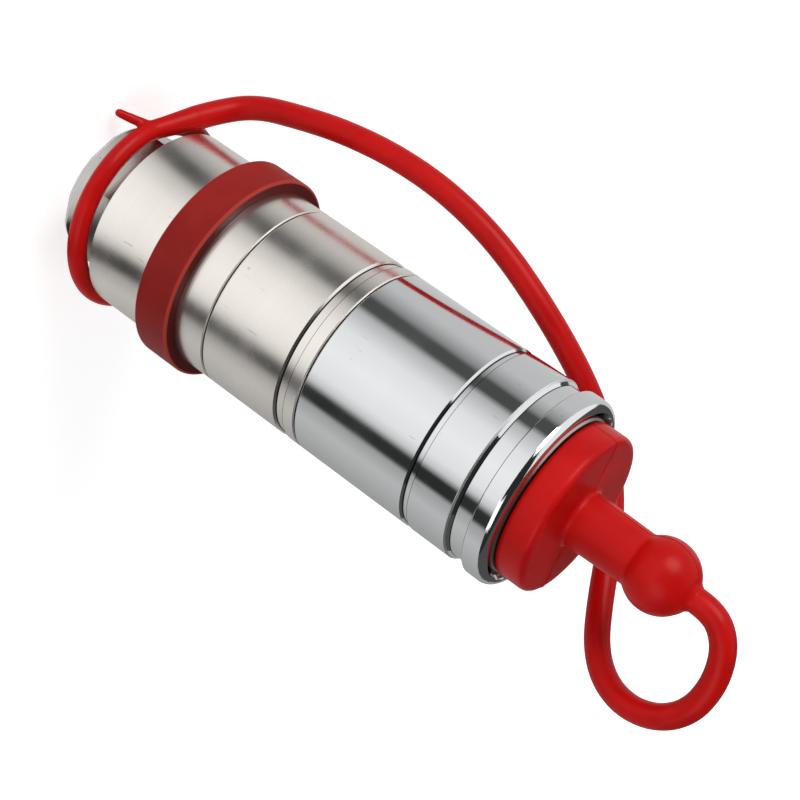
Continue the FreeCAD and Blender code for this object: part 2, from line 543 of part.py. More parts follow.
def port_adapter():
    """Hexagon with a tapered end, the hose port and the thread that holds the tail."""
    body = turned(
        "port_adapter",
        [
            ("port_mouth_r", None),
            ("end_r", None),
            ("hex_round_r", "taper_end"),
            ("hex_round_r", "hex_len"),
            ("body_r", "hex_len"),
            ("body_r", "collar_back"),
            ("thread_r", "collar_back"),
            ("thread_r", "adapter_slope"),
            ("nose_bore_r", "tail_nose_front"),
            ("nose_bore_r", "guide_seat"),
            ("sump_r", "guide_seat"),
            ("sump_r", "sump_back"),
            ("passage_r", "sump_slope"),
            ("passage_r", "port_cone"),
            ("port_r", "port_depth"),
            ("port_r", "port_chamfer"),
        ],
    )
    # The wrench flats are milled: all that lies outside the hexagon is cut away
    sketch = sketch_on(body, "wrench_flats", "XY_Plane")
    corner_r = size("hex_corner_r")
    corners = []
    for i in range(6):
        angle = math.radians(60 * i + 30)
        corners.append(FreeCAD.Vector(corner_r * math.cos(angle), corner_r * math.sin(angle), 0))
    for i in range(6):
        sketch.addGeometry(Part.LineSegment(corners[i], corners[(i + 1) % 6]))
    middle = FreeCAD.Vector(0, 0, 0)
    upwards = FreeCAD.Vector(0, 0, 1)
    guide_circle = sketch.addGeometry(Part.Circle(middle, upwards, corner_r), True)
    outer_circle = sketch.addGeometry(Part.Circle(middle, upwards, 2 * corner_r))
    for i in range(6):
        sketch.addConstraint(Sketcher.Constraint("Coincident", i, 2, (i + 1) % 6, 1))
        sketch.addConstraint(Sketcher.Constraint("PointOnObject", i, 1, guide_circle))
    for i in range(1, 6):
        sketch.addConstraint(Sketcher.Constraint("Equal", 0, i))
    sketch.addConstraint(Sketcher.Constraint("PointOnObject", 1, 1, -2))
    for circle, factor, name in ((guide_circle, 1, "corner"), (outer_circle, 2, "outside")):
        sketch.addConstraint(Sketcher.Constraint("Coincident", circle, 3, -1, 1))
        number = sketch.addConstraint(
            Sketcher.Constraint("Radius", circle, factor * corner_r)
        )
        sketch.renameConstraint(number, name)
        sketch.setExpression("Constraints." + name, "%d * Sizes.hex_corner_r" % factor)
    flats = body.newObject("PartDesign::Pocket", "hexagon")
    flats.Profile = sketch
    flats.Reversed = True
    flats.setExpression("Length", "Sizes.hex_len")
    body.Tip = flats
    doc.recompute()
    return body


def valve_body():
    """Inner body: socket, ball holes, seal groove, valve seat and threaded tail."""
    body = turned(
        "valve_body",
        [
            ("tail_bore_r", "tail_back"),
            ("tail_nose_r", "tail_back"),
            ("tail_nose_r", "tail_groove_back"),
            ("tail_groove_r", "tail_groove_back"),
            ("tail_groove_r", "tail_groove_front"),
            ("tail_nose_r", "tail_groove_front"),
            ("tail_nose_r", "tail_nose_front"),
            ("tail_r", "tail_slope"),
            ("tail_r", "collar_front"),
            ("body_r", "collar_front"),
            ("body_r", "flange_rear"),
            ("flange_r", "flange_rear"),
            ("flange_r", "flange_edge"),
            ("flange_edge_r", "body_front"),
            ("bore_lead_r", "body_front"),
            ("bore_r", "bore_lead_back"),
            ("bore_r", "seal_groove_front"),
            ("seal_groove_r", "seal_groove_front"),
            ("seal_groove_r", "seal_groove_back"),
            ("bore_r", "seal_groove_back"),
            ("bore_r", "bore_bottom"),
            ("seat_r", "bore_bottom"),
            ("seat_r", "seat_back"),
            ("valve_room_r", "cone_back"),
            ("valve_room_r", "room_back"),
            ("tail_bore_r", "room_slope"),
        ],
    )
    # One ball hole, tapered so that the ball can't drop into the socket
    sketch = sketch_on(body, "ball_hole_section")
    centre_line = Part.LineSegment(
        FreeCAD.Vector(0, size("ball_plane"), 0),
        FreeCAD.Vector(size("hole_end_r"), size("ball_plane"), 0),
    )
    sketch.addGeometry(centre_line, True)
    sketch.addConstraint(Sketcher.Constraint("PointOnObject", 0, 1, -2))
    sketch.addConstraint(Sketcher.Constraint("Horizontal", 0))
    set_distance(sketch, "DistanceY", 0, "Sizes.ball_plane", size("ball_plane"), "plane")
    number = sketch.addConstraint(
        Sketcher.Constraint("DistanceX", 0, 1, 0, 2, size("hole_end_r"))
    )
    sketch.renameConstraint(number, "reach")
    sketch.setExpression("Constraints.reach", "Sizes.hole_end_r")
    outline = [
        ("ball_hole_start", None),
        ("hole_end_r", None),
        ("hole_end_r", "ball_hole_r"),
        ("ball_cone_start", "ball_hole_r"),
        ("bore_r", "ball_throat_r"),
        ("ball_hole_start", "ball_throat_r"),
    ]
    spots = []
    for across, half in outline:
        rise = size(half) if half else 0.0
        spots.append(FreeCAD.Vector(size(across), size("ball_plane") + rise, 0))
    count = len(spots)
    for i in range(count):
        sketch.addGeometry(Part.LineSegment(spots[i], spots[(i + 1) % count]))
    for i in range(count):
        following = 1 + (i + 1) % count
        sketch.addConstraint(Sketcher.Constraint("Coincident", 1 + i, 2, following, 1))
    for i, (across, half) in enumerate(outline):
        line = 1 + i
        set_distance(sketch, "DistanceX", line, "Sizes." + across, spots[i].x, "across%d" % i)
        formula = "Sizes.ball_plane"
        if half:
            formula += " + Sizes." + half
        set_distance(sketch, "DistanceY", line, formula, spots[i].y, "up%d" % i)
    hole = body.newObject("PartDesign::Groove", "ball_hole")
    hole.Profile = sketch
    hole.ReferenceAxis = (sketch, ["Axis0"])
    hole.Angle = 360
    body.Tip = hole
    doc.recompute()
    repeat_round(body, "ball_holes", hole, "ball_count")
    return body


def locking_balls():
    """The ring of balls, one in each tapered hole."""
    balls = []
    for i in range(int(size("ball_count"))):
        ball = doc.addObject("Part::Sphere", "ball_%d" % (i + 1))
        ball.setExpression("Radius", "Sizes.ball_r")
        angle = "(%d * 360deg / Sizes.ball_count)" % i
        ball.setExpression("Placement.Base.x", "Sizes.ball_pitch_r * cos%s" % angle)
        ball.setExpression("Placement.Base.y", "Sizes.ball_pitch_r * sin%s" % angle)
        ball.setExpression("Placement.Base.z", "Sizes.ball_plane")
        balls.append(ball)
    group = doc.addObject("Part::Compound", "locking_balls")
    group.Label = "locking_balls"
    group.Links = balls
    doc.recompute()
    return group


def poppet_guide():
    """Spider that carries the poppet's stem, clamped between the tail and the adapter."""
    body = turned(
        "poppet_guide",
        [
            ("guide_hole_r", "guide_low"),
            ("guide_hub_r", "guide_low"),
            ("guide_hub_r", "guide_high"),
            ("guide_hole_r", "guide_high"),
        ],
    )
    sketch = sketch_on(body, "leg_plan", "XY_Plane", "guide_seat")
    inner = size("guide_leg_start")
    outer = size("guide_leg_end")
    half = size("guide_leg_width") / 2
    corners = [(inner, -half), (outer, -half), (outer, half), (inner, half)]
    spots = [FreeCAD.Vector(x, y, 0) for x, y in corners]
    for i in range(4):
        sketch.addGeometry(Part.LineSegment(spots[i], spots[(i + 1) % 4]))
    for i in range(4):
        sketch.addConstraint(Sketcher.Constraint("Coincident", i, 2, (i + 1) % 4, 1))
    for line in (0, 2):
        sketch.addConstraint(Sketcher.Constraint("Horizontal", line))
    sketch.addConstraint(Sketcher.Constraint("Vertical", 3))
    sketch.addConstraint(Sketcher.Constraint("Symmetric", 1, 1, 1, 2, -1))
    for name, kind, ends, value, formula in (
        ("start", "DistanceX", (-1, 1, 0, 1), inner, "Sizes.guide_leg_start"),
        ("end", "DistanceX", (-1, 1, 1, 1), outer, "Sizes.guide_leg_end"),
        ("width", "DistanceY", (1, 1, 1, 2), 2 * half, "Sizes.guide_leg_width"),
    ):
        number = sketch.addConstraint(Sketcher.Constraint(kind, *ends, value))
        sketch.renameConstraint(number, name)
        sketch.setExpression("Constraints." + name, formula)
    leg = body.newObject("PartDesign::Pad", "leg")
    leg.Profile = sketch
    leg.setExpression("Length", "Sizes.guide_len")
    body.Tip = leg
    doc.recompute()
    repeat_round(body, "legs", leg, "guide_legs")
    turn(
        body,
        "guide_rim",
        [
            ("guide_window_r", "guide_seat"),
            ("guide_rim_r", "guide_seat"),
            ("guide_rim_r", "tail_back"),
            ("guide_window_r", "tail_back"),
        ],
    )
    return body


def poppet():
    """Valve poppet: stem, spring boss, head with the seal's groove, and nose."""
    return turned(
        "poppet",
        [
            (None, "stem_back"),
            ("stem_r", "stem_back"),
            ("stem_r", "boss_back"),
            ("poppet_boss_r", "boss_back"),
            ("poppet_boss_r", "poppet_back"),
            ("poppet_head_r", "poppet_back"),
            ("poppet_head_r", "seal_room_back"),
            ("seal_room_r", "seal_room_back"),
            ("seal_room_r", "nose_land_back"),
            ("nose_land_r", "nose_land_back"),
            ("nose_land_r", "nose_land_front"),
            ("tip_r", "nose_cone_front"),
            ("tip_r", "tip_edge"),
            ("tip_edge_r", "tip_front"),
            (None, "tip_front"),
        ],
    )


def backup_ring():
    """Flat ring beside the socket's O-ring."""
    return turned(
        "backup_ring",
        [
            ("backup_bore_r", "backup_back"),
            ("backup_outer_r", "backup_back"),
            ("backup_outer_r", "backup_front"),
            ("backup_bore_r", "backup_front"),
        ],
    )


def spring_collar():
    """Ring clamped between the adapter and the valve body, the springs' inner stop."""
    return turned(
        "spring_collar",
        [
            ("thread_r", "collar_back"),
            ("collar_edge_r", "collar_back"),
            ("collar_r", "collar_low_edge"),
            ("collar_r", "collar_high_edge"),
            ("collar_edge_r", "collar_front"),
            ("thread_r", "collar_front"),
        ],
    )


def rear_sleeve():
    """Rear piece of the outer sleeve, over the hexagon, with the colour ring's groove."""
    return turned(
        "rear_sleeve",
        [
            ("hex_bore_edge_r", "sleeve_back"),
            ("edge_r", "sleeve_back"),
            ("sleeve_r", "sleeve_back_edge"),
            ("sleeve_r", "colour_back"),
            ("colour_floor_r", "colour_back"),
            ("colour_floor_r", "colour_front"),
            ("sleeve_r", "colour_front"),
            ("sleeve_r", "joint_back_low"),
            ("edge_r", "joint_back"),
            ("spigot_r", "joint_back"),
            ("spigot_r", "rear_socket"),
            ("chamber_r", "rear_socket"),
            ("chamber_r", "rear_seat"),
            ("guide_r", "rear_seat"),
            ("guide_r", "flange_back"),
            ("hex_bore_r", "flange_back"),
            ("hex_bore_r", "sleeve_back_edge"),
        ],
    )


def middle_sleeve():
    """Middle piece, screwed into both others, with the rear clip groove."""
    return turned(
        "middle_sleeve",
        [
            ("chamber_r", "rear_spigot_end"),
            ("spigot_outer_r", "rear_spigot_end"),
            ("spigot_outer_r", "joint_back"),
            ("edge_r", "joint_back"),
            ("sleeve_r", "joint_back_high"),
            ("sleeve_r", "rear_clip_back"),
            ("clip_floor_r", "rear_clip_floor"),
            ("clip_floor_r", "rear_clip_front"),
            ("sleeve_r", "rear_clip_front"),
            ("sleeve_r", "joint_front_low"),
            ("edge_r", "joint_front"),
            ("spigot_outer_r", "joint_front"),
            ("spigot_outer_r", "front_spigot_end"),
            ("chamber_r", "front_spigot_end"),
        ],
    )


def front_sleeve():
    """Front piece: land and reliefs that work the balls, front clip groove, neck and lip."""
    body = turned(
        "front_sleeve",
        [
            ("spigot_r", "joint_front"),
            ("edge_r", "joint_front"),
            ("sleeve_r", "joint_front_high"),
            ("sleeve_r", "front_clip_back"),
            ("clip_floor_r", "front_clip_floor"),
            ("clip_floor_r", "front_clip_front"),
            ("sleeve_r", "front_clip_front"),
            ("sleeve_r", "neck_back"),
            ("neck_floor_r", "neck_floor_back"),
            ("neck_floor_r", "neck_front"),
            ("lip_r", "neck_front"),
            ("lip_r", "sleeve_front"),
            ("lip_inner_r", "sleeve_front"),
            ("mouth_r", "flare_end"),
            ("mouth_r", "land_front_slope"),
            ("ball_land_r", "land_front"),
            ("ball_land_r", "land_back"),
            ("ball_relief_r", "land_back_slope"),
            ("ball_relief_r", "relief_back"),
            ("guide_r", "relief_back"),
            ("guide_r", "front_seat"),
            ("chamber_r", "front_seat"),
            ("chamber_r", "front_socket"),
            ("spigot_r", "front_socket"),
        ],
    )
    round_edge(body, "lip_front_edge", "lip_r", "sleeve_front", "lip_round")
    round_edge(body, "lip_back_edge", "lip_r", "neck_front", "lip_back_round")
    return body


def colour_ring():
    """Coloured band that marks the circuit, snapped into the rear sleeve's groove."""
    return turned(
        "colour_ring",
        [
            ("colour_inner_r", "colour_low"),
            ("colour_edge_r", "colour_low"),
            ("colour_ring_r", "colour_low_edge"),
            ("colour_ring_r", "colour_high_edge"),
            ("colour_edge_r", "colour_high"),
            ("colour_inner_r", "colour_high"),
        ],
    )


def dust_plug():
    """Moulded plug: cored insert with a sealing rib, disc, stem, ball and strap's exit."""
    body = turned(
        "dust_plug",
        [
            (None, "core_front"),
            ("core_end_r", "core_front"),
            ("core_r", "insert_back"),
            ("insert_lead_r", "insert_back"),
            ("insert_r", "insert_lead"),
            ("insert_r", "rib_foot"),
            ("rib_r", "rib_back"),
            ("rib_r", "rib_crest"),
            ("insert_r", "rib_front"),
            ("insert_r", "disc_back"),
            ("disc_r", "disc_back"),
            ("disc_r", "disc_front"),
            ("grip_root_r", "disc_front"),
            ("grip_tip_r", "knob_centre"),
            ("exit_r", "knob_centre"),
            ("exit_r", "exit_foot"),
            ("strap_r", "strap_start"),
            (None, "strap_start"),
        ],
    )
    knob = body.newObject("PartDesign::AdditiveSphere", "knob")
    knob.AttachmentSupport = [(origin_part(body, "XY_Plane"), "")]
    knob.MapMode = "FlatFace"
    knob.setExpression("AttachmentOffset.Base.z", "Sizes.knob_centre")
    knob.setExpression("Radius", "Sizes.knob_r")
    body.Tip = knob
    doc.recompute()
    round_edge(body, "disc_rim_front", "disc_r", "disc_front", "plug_rim_front")
    round_edge(body, "disc_rim_back", "disc_r", "disc_back", "plug_rim_back")
    round_edge(body, "stem_foot", "grip_root_r", "disc_front", "grip_fillet")
    return body


def tube_along(points, radius):
    """A round tube along straight runs joined by tangent arcs."""
    edges = []
    start = points[0]
    for i in range(1, len(points) - 1):
        back = points[i - 1] - points[i]
        ahead = points[i + 1] - points[i]
        turn_angle = math.pi - back.getAngle(ahead)
        shorter = min(back.Length, ahead.Length)
        reach = BEND_SHARE * shorter
        arc_radius = reach / math.tan(turn_angle / 2)
        back.normalize()
        ahead.normalize()
        arc_start = points[i] + back * reach
        arc_end = points[i] + ahead * reach
        inward = back + ahead
        inward.normalize()
        centre_gap = arc_radius / math.cos(turn_angle / 2)
        arc_middle = points[i] + inward * (centre_gap - arc_radius)
        edges.append(Part.LineSegment(start, arc_start).toShape())
        edges.append(Part.Arc(arc_start, arc_middle, arc_end).toShape())
        start = arc_end
        print(
            "lanyard bend %s: turn %.1f degrees, radius %.1f"
            % (tuple(round(c, 1) for c in points[i]), math.degrees(turn_angle), arc_radius)
        )
    edges.append(Part.LineSegment(start, points[-1]).toShape())
    path = Part.Wire(edges)
    heading = points[1] - points[0]
    circle = Part.Circle(points[0], heading, radius)
    section = Part.Wire([circle.toShape()])
    tube = path.makePipeShell([section], True, False)
    expected = math.pi * radius**2 * path.Length
    print("lanyard tube: length %.1f, volume %.4f of expected" % (path.Length, tube.Volume / expected))
    return tube


def lanyard_strap(label, points):
    """Half of the strap, a plain tube on its route."""
    strap = doc.addObject("Part::Feature", label)
    strap.Label = label
    strap.Shape = tube_along(points, size("strap_r"))
    return strap


def lanyard_ring(last_run):
    """Eye round the hexagon with the strap's foot and a pull tab."""
    high_side = math.radians(size("eye_high_side"))
    hinge = FreeCAD.Vector(-math.sin(high_side), math.cos(high_side), 0)
    tilt = FreeCAD.Rotation(hinge, -size("eye_tilt"))
    centre = FreeCAD.Vector(size("eye_shift"), -size("eye_drop"), size("eye_lift"))
    eye = doc.addObject("Part::Torus", "eye_strand")
    eye.setExpression("Radius1", "Sizes.eye_r")
    eye.setExpression("Radius2", "Sizes.eye_strand_r")
    eye.Placement = FreeCAD.Placement(centre, tilt)
    foot = doc.addObject("Part::Cone", "strap_foot")
    foot.setExpression("Radius1", "Sizes.strap_r")
    foot.setExpression("Radius2", "Sizes.foot_end_r")
    foot.setExpression("Height", "Sizes.foot_len")
    upwards = FreeCAD.Vector(0, 0, 1)
    foot_heading = last_run[1] - last_run[0]
    foot.Placement = FreeCAD.Placement(last_run[1], FreeCAD.Rotation(upwards, foot_heading))
    angle = math.radians(size("tab_angle"))
    spoke = FreeCAD.Vector(math.cos(angle), math.sin(angle), 0) * size("eye_r")
    root = centre + tilt.multVec(spoke)
    lean = math.radians(size("tab_lean"))
    heading = math.radians(size("tab_heading"))
    tab_heading = FreeCAD.Vector(
        math.sin(lean) * math.cos(heading), math.sin(lean) * math.sin(heading), -math.cos(lean)
    )
    tab = doc.addObject("Part::Cone", "tab_shank")
    tab.setExpression("Radius1", "Sizes.tab_root_r")
    tab.setExpression("Radius2", "Sizes.tab_tip_r")
    tab.setExpression("Height", "Sizes.tab_len")
    tab.Placement = FreeCAD.Placement(root, FreeCAD.Rotation(upwards, tab_heading))
    tip = doc.addObject("Part::Sphere", "tab_end")
    tip.setExpression("Radius", "Sizes.tab_tip_r")
    tip.Placement.Base = root + tab_heading * size("tab_len")
    ring = doc.addObject("Part::MultiFuse", "lanyard_ring")
    ring.Label = "lanyard_ring"
    ring.Shapes = [eye, foot, tab, tip]
    doc.recompute()
    return ring


front_route = [FreeCAD.Vector(*point) for point in FRONT_ROUTE]
rear_route = [FreeCAD.Vector(*point) for point in REAR_ROUTE]
front_route[0].z = size("strap_start")
split = (front_route[-1] + rear_route[0]) / 2

pieces = [
    port_adapter(),
    valve_body(),
    o_ring("adapter_o_ring", "tail_seal_centre_r", "tail_seal_r", "tail_seal_mid"),
    poppet_guide(),
    spring_collar(),
    locking_balls(),
    o_ring("bore_o_ring", "seal_centre_r", "seal_section_r", "seal_mid"),
    backup_ring(),
    poppet(),
    o_ring("poppet_seal", "poppet_seal_centre_r", "poppet_seal_r", "poppet_seal_mid"),
    coil_spring(
        "poppet_spring", "valve_coil_r", "valve_wire_r", "valve_turns", "tail_back", "valve_spring_len"
    ),
    rear_sleeve(),
    middle_sleeve(),
    front_sleeve(),
    colour_ring(),
    coil_spring(
        "rear_centring_spring", "coil_r", "wire_r", "coil_turns", "rear_seat", "rear_spring_len"
    ),
    coil_spring(
        "front_centring_spring", "coil_r", "wire_r", "coil_turns", "collar_front", "front_spring_len"
    ),
    dust_plug(),
    lanyard_strap("lanyard_strap_front", front_route + [split]),
    lanyard_strap("lanyard_strap_rear", [split] + rear_route),
    lanyard_ring(rear_route[-2:]),
]
doc.recompute()

for item in doc.Objects:
    for fault in ("Invalid", "Error"):
        if fault in item.State:
            raise RuntimeError("%s is %s" % (item.Label, fault))
for piece in pieces:
    if piece.Shape.isNull() or not piece.Shape.isValid():
        raise RuntimeError("%s has no valid shape" % piece.Label)

os.makedirs("parts", exist_ok=True)
for piece in pieces:
    piece.Shape.exportStep("parts/%s.step" % piece.Label)
    print("%-22s %2d solids %9.1f mm3" % (piece.Label, len(piece.Shape.Solids), piece.Shape.Volume))
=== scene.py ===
import math

import bmesh
import bpy
from mathutils import Matrix, Vector


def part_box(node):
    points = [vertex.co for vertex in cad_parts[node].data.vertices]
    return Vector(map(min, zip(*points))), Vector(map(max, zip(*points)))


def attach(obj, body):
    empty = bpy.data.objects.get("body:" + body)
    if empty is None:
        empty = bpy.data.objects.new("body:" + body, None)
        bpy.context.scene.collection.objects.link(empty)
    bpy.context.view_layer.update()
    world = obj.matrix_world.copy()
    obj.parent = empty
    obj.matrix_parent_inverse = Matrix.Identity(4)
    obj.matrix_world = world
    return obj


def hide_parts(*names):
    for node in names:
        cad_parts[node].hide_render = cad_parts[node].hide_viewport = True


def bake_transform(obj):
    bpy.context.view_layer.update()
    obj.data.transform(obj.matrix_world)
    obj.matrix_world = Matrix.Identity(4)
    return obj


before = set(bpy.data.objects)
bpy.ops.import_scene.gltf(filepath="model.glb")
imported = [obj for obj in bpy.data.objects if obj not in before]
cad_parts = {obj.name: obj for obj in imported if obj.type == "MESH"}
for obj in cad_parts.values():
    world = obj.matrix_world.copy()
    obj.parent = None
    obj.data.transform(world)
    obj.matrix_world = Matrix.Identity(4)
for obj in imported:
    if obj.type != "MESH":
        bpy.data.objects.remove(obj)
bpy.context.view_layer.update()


# Port adapter. A steel hexagon with a tapered end, turned from bar, milled and zinc
# plated, with the hose port's thread cut into it. The sleeve slides over it.
def put(tree, kind, sockets=None, **settings):
    """Adds a node with its settings; its sockets are set to numbers or linked."""
    made = tree.nodes.new(kind)
    for name, value in settings.items():
        setattr(made, name, value)
    for name, value in (sockets or {}).items():
        if isinstance(value, bpy.types.NodeSocket):
            tree.links.new(value, made.inputs[name])
        else:
            made.inputs[name].default_value = value
    return made


def reckon(tree, operation, *values):
    """One sum on numbers or sockets."""
    sockets = dict(enumerate(values))
    return put(tree, "ShaderNodeMath", sockets, operation=operation).outputs[0]


def stretch(tree, value, low, high, to_low, to_high):
    """A value carried from one range to another, and held at its ends."""
    return put(tree, "ShaderNodeMapRange", {
        "Value": value, "From Min": low, "From Max": high, "To Min": to_low, "To Max": to_high,
    }).outputs["Result"]


def between(tree, share, low, high):
    """A colour between two others."""
    mix = put(tree, "ShaderNodeMix", data_type="RGBA")
    for number, value in ((0, share), (6, low), (7, high)):
        if isinstance(value, bpy.types.NodeSocket):
            tree.links.new(value, mix.inputs[number])
        elif number:
            mix.inputs[number].default_value = (*value, 1)
        else:
            mix.inputs[number].default_value = value
    return mix.outputs[2]


def new_group(name, inputs, outputs):
    """An empty shader group with its inputs and outputs, and its two end nodes."""
    group = bpy.data.node_groups.new(name, "ShaderNodeTree")
    for label, value in inputs:
        socket = group.interface.new_socket(label, in_out="INPUT", socket_type="NodeSocketFloat")
        socket.default_value = value
    for label in outputs:
        group.interface.new_socket(label, in_out="OUTPUT", socket_type="NodeSocketFloat")
    return group, group.nodes.new("NodeGroupInput"), group.nodes.new("NodeGroupOutput")


def tool_lines():
    """Rings that a lathe tool leaves, over broad light and dark bands."""
    bands_per_metre = 110.0
    side_facing, end_facing = 0.3, 0.7
    fine_range, broad_range = (0.32, 0.68), (0.3, 0.7)
    group, given, result = new_group(
        "tool_lines", [("Spacing", 0.0002), ("Waver", 1.2)], ["Tone", "Gloss", "Depth"]
    )
    place = put(group, "ShaderNodeTexCoord").outputs
    axes = put(group, "ShaderNodeSeparateXYZ", {0: place["Object"]}).outputs
    flat = put(group, "ShaderNodeCombineXYZ", {"X": axes["X"], "Y": axes["Y"]}).outputs[0]
    radius = put(group, "ShaderNodeVectorMath", {0: flat}, operation="LENGTH").outputs["Value"]
    facing_up = put(group, "ShaderNodeSeparateXYZ", {0: place["Normal"]}).outputs["Z"]
    upright = reckon(group, "ABSOLUTE", facing_up)
    face_share = stretch(group, upright, side_facing, end_facing, 0.0, 1.0)
    along = stretch(group, face_share, 0.0, 1.0, axes["Z"], radius)
    across = reckon(group, "DIVIDE", along, given.outputs["Spacing"])
    turn_x = reckon(group, "MULTIPLY", axes["X"], given.outputs["Waver"])
    turn_y = reckon(group, "MULTIPLY", axes["Y"], given.outputs["Waver"])
    path = put(group, "ShaderNodeCombineXYZ", {"X": across, "Y": turn_x, "Z": turn_y}).outputs[0]
    fine = put(group, "ShaderNodeTexNoise", {"Vector": path, "Scale": 1.0, "Detail": 3.0})
    slow = reckon(group, "MULTIPLY", along, bands_per_metre)
    broad_path = put(group, "ShaderNodeCombineXYZ", {"X": slow, "Y": turn_x, "Z": turn_y})
    broad = put(group, "ShaderNodeTexNoise", {
        "Vector": broad_path.outputs[0], "Scale": 1.0, "Detail": 2.0,
    })
    fine_tone = stretch(group, fine.outputs[0], *fine_range, 0.0, 1.0)
    broad_tone = stretch(group, broad.outputs[0], *broad_range, 0.0, 1.0)
    half_fine = reckon(group, "MULTIPLY", fine_tone, 0.5)
    tone = reckon(group, "MULTIPLY_ADD", broad_tone, 0.5, half_fine)
    group.links.new(tone, result.inputs["Tone"])
    group.links.new(broad_tone, result.inputs["Gloss"])
    group.links.new(fine_tone, result.inputs["Depth"])
    return group


def handling_marks():
    """Short hair scratches, small pits and faint smudges from handling."""
    hair_turns = (((0.9, 0.2, 0.5), 1.0), ((-0.5, 0.7, -0.9), 1.3))
    hair_along, hair_across, hair_range = 170, 7500, (0.735, 0.76)
    patch_scale, patch_range = 160.0, (0.5, 0.62)
    pit_scale, pit_range, pit_share = 210.0, (0.05, 0.09), 0.14
    smudge_scale, smudge_range = 70.0, (0.42, 0.66)
    group, given, result = new_group(
        "handling_marks", [("Amount", 0.5)], ["Scratches", "Pits", "Smudges"]
    )
    spot = put(group, "ShaderNodeTexCoord").outputs["Object"]
    hairs = []
    for turn, scale in hair_turns:
        path = put(group, "ShaderNodeMapping", {
            "Vector": spot,
            "Rotation": turn,
            "Scale": (hair_along * scale, hair_across * scale, hair_along * scale),
        }).outputs[0]
        noise = put(group, "ShaderNodeTexNoise", {"Vector": path, "Scale": 1.0, "Detail": 1.0})
        hairs.append(stretch(group, noise.outputs[0], *hair_range, 0.0, 1.0))
    scratches = reckon(group, "MAXIMUM", *hairs)
    patches = put(group, "ShaderNodeTexNoise", {
        "Vector": spot, "Scale": patch_scale, "Detail": 2.0,
    })
    where = stretch(group, patches.outputs[0], *patch_range, 0.0, 1.0)
    scratches = reckon(group, "MULTIPLY", scratches, where)
    scratches = reckon(group, "MULTIPLY", scratches, given.outputs["Amount"])
    cells = put(group, "ShaderNodeTexVoronoi", {"Vector": spot, "Scale": pit_scale})
    small = stretch(group, cells.outputs["Distance"], *pit_range, 1.0, 0.0)
    chosen = put(group, "ShaderNodeSeparateColor", {0: cells.outputs["Color"]}).outputs[0]
    rare = reckon(group, "GREATER_THAN", chosen, 1 - pit_share)
    pits = reckon(group, "MULTIPLY", small, rare)
    pits = reckon(group, "MULTIPLY", pits, given.outputs["Amount"])
    film = put(group, "ShaderNodeTexNoise", {"Vector": spot, "Scale": smudge_scale, "Detail": 4.0})
    smudges = stretch(group, film.outputs[0], *smudge_range, 0.0, 1.0)
    group.links.new(scratches, result.inputs["Scratches"])
    group.links.new(pits, result.inputs["Pits"])
    group.links.new(smudges, result.inputs["Smudges"])
    return group


def ring_at_height():
    """A mask that marks a ring at one height, with soft edges."""
    soft_edge = (0.8, 1.3)
    group, given, result = new_group(
        "ring_at_height", [("Height", 0.05), ("Half Width", 0.0001)], ["Mask"]
    )
    spot = put(group, "ShaderNodeTexCoord").outputs["Object"]
    height = put(group, "ShaderNodeSeparateXYZ", {0: spot}).outputs["Z"]
    away = reckon(group, "ABSOLUTE", reckon(group, "SUBTRACT", height, given.outputs["Height"]))
    share = reckon(group, "DIVIDE", away, given.outputs["Half Width"])
    group.links.new(stretch(group, share, *soft_edge, 1.0, 0.0), result.inputs["Mask"])
    return group


lathe_marks = tool_lines()
wear_marks = handling_marks()
ring_marks = ring_at_height()
# The seam rings' colour: the dark line of a joint, and painted shade in groove floors and corners.
joint_dark_and_shade = (0.045, 0.04, 0.035)
worn_tone = 0.7
smudge_matt = 0.05
mark_depth = 1.5
line_depth = 0.00004


def ring_mask(tree, height, half_width):
    """The mask of one ring in a material's tree."""
    ring = put(tree, "ShaderNodeGroup", node_tree=ring_marks)
    ring.inputs["Height"].default_value = height
    ring.inputs["Half Width"].default_value = half_width
    return ring.outputs["Mask"]


def steel(name, light, dark, smooth, rough, spacing, relief, wear, seams=(), matt=()):
    """Steel with lathe lines and wear. Seams are rings (height, half width) that darken joints and
    paint shade into grooves.
    Matt rings (height, half width, amount) are rougher, or smoother below zero."""
    material = bpy.data.materials.new(name)
    material.use_nodes = True
    tree = material.node_tree
    shader = tree.nodes["Principled BSDF"]
    lines = put(tree, "ShaderNodeGroup", node_tree=lathe_marks)
    lines.inputs["Spacing"].default_value = spacing
    marks = put(tree, "ShaderNodeGroup", node_tree=wear_marks)
    marks.inputs["Amount"].default_value = wear
    plain = between(tree, lines.outputs["Tone"], dark, light)
    dull = tuple(worn_tone * c for c in dark)
    spots = reckon(tree, "MAXIMUM", marks.outputs["Pits"], marks.outputs["Scratches"])
    colour = between(tree, spots, plain, dull)
    # Seam rings darken the joints and paint shade into groove floors and corners.
    for height, half_width in seams:
        colour = between(tree, ring_mask(tree, height, half_width), colour, joint_dark_and_shade)
    tree.links.new(colour, shader.inputs["Base Color"])
    shader.inputs["Metallic"].default_value = 1.0
    gloss = stretch(tree, lines.outputs["Gloss"], 0.0, 1.0, smooth, rough)
    film = reckon(tree, "MULTIPLY_ADD", marks.outputs["Smudges"], smudge_matt * wear, gloss)
    for height, half_width, amount in matt:
        film = reckon(tree, "MULTIPLY_ADD", ring_mask(tree, height, half_width), amount, film)
    tree.links.new(film, shader.inputs["Roughness"])
    cut = reckon(tree, "MULTIPLY_ADD", spots, -mark_depth, lines.outputs["Depth"])
    bump = put(tree, "ShaderNodeBump", {"Height": cut, "Strength": relief, "Distance": line_depth})
    tree.links.new(bump.outputs[0], shader.inputs["Normal"])
    return material


def coat(node, material):
    """Gives a CAD node its finish."""
    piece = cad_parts[node]
    if not piece.material_slots:
        piece.data.materials.append(material)
    for slot in piece.material_slots:
        slot.material = material


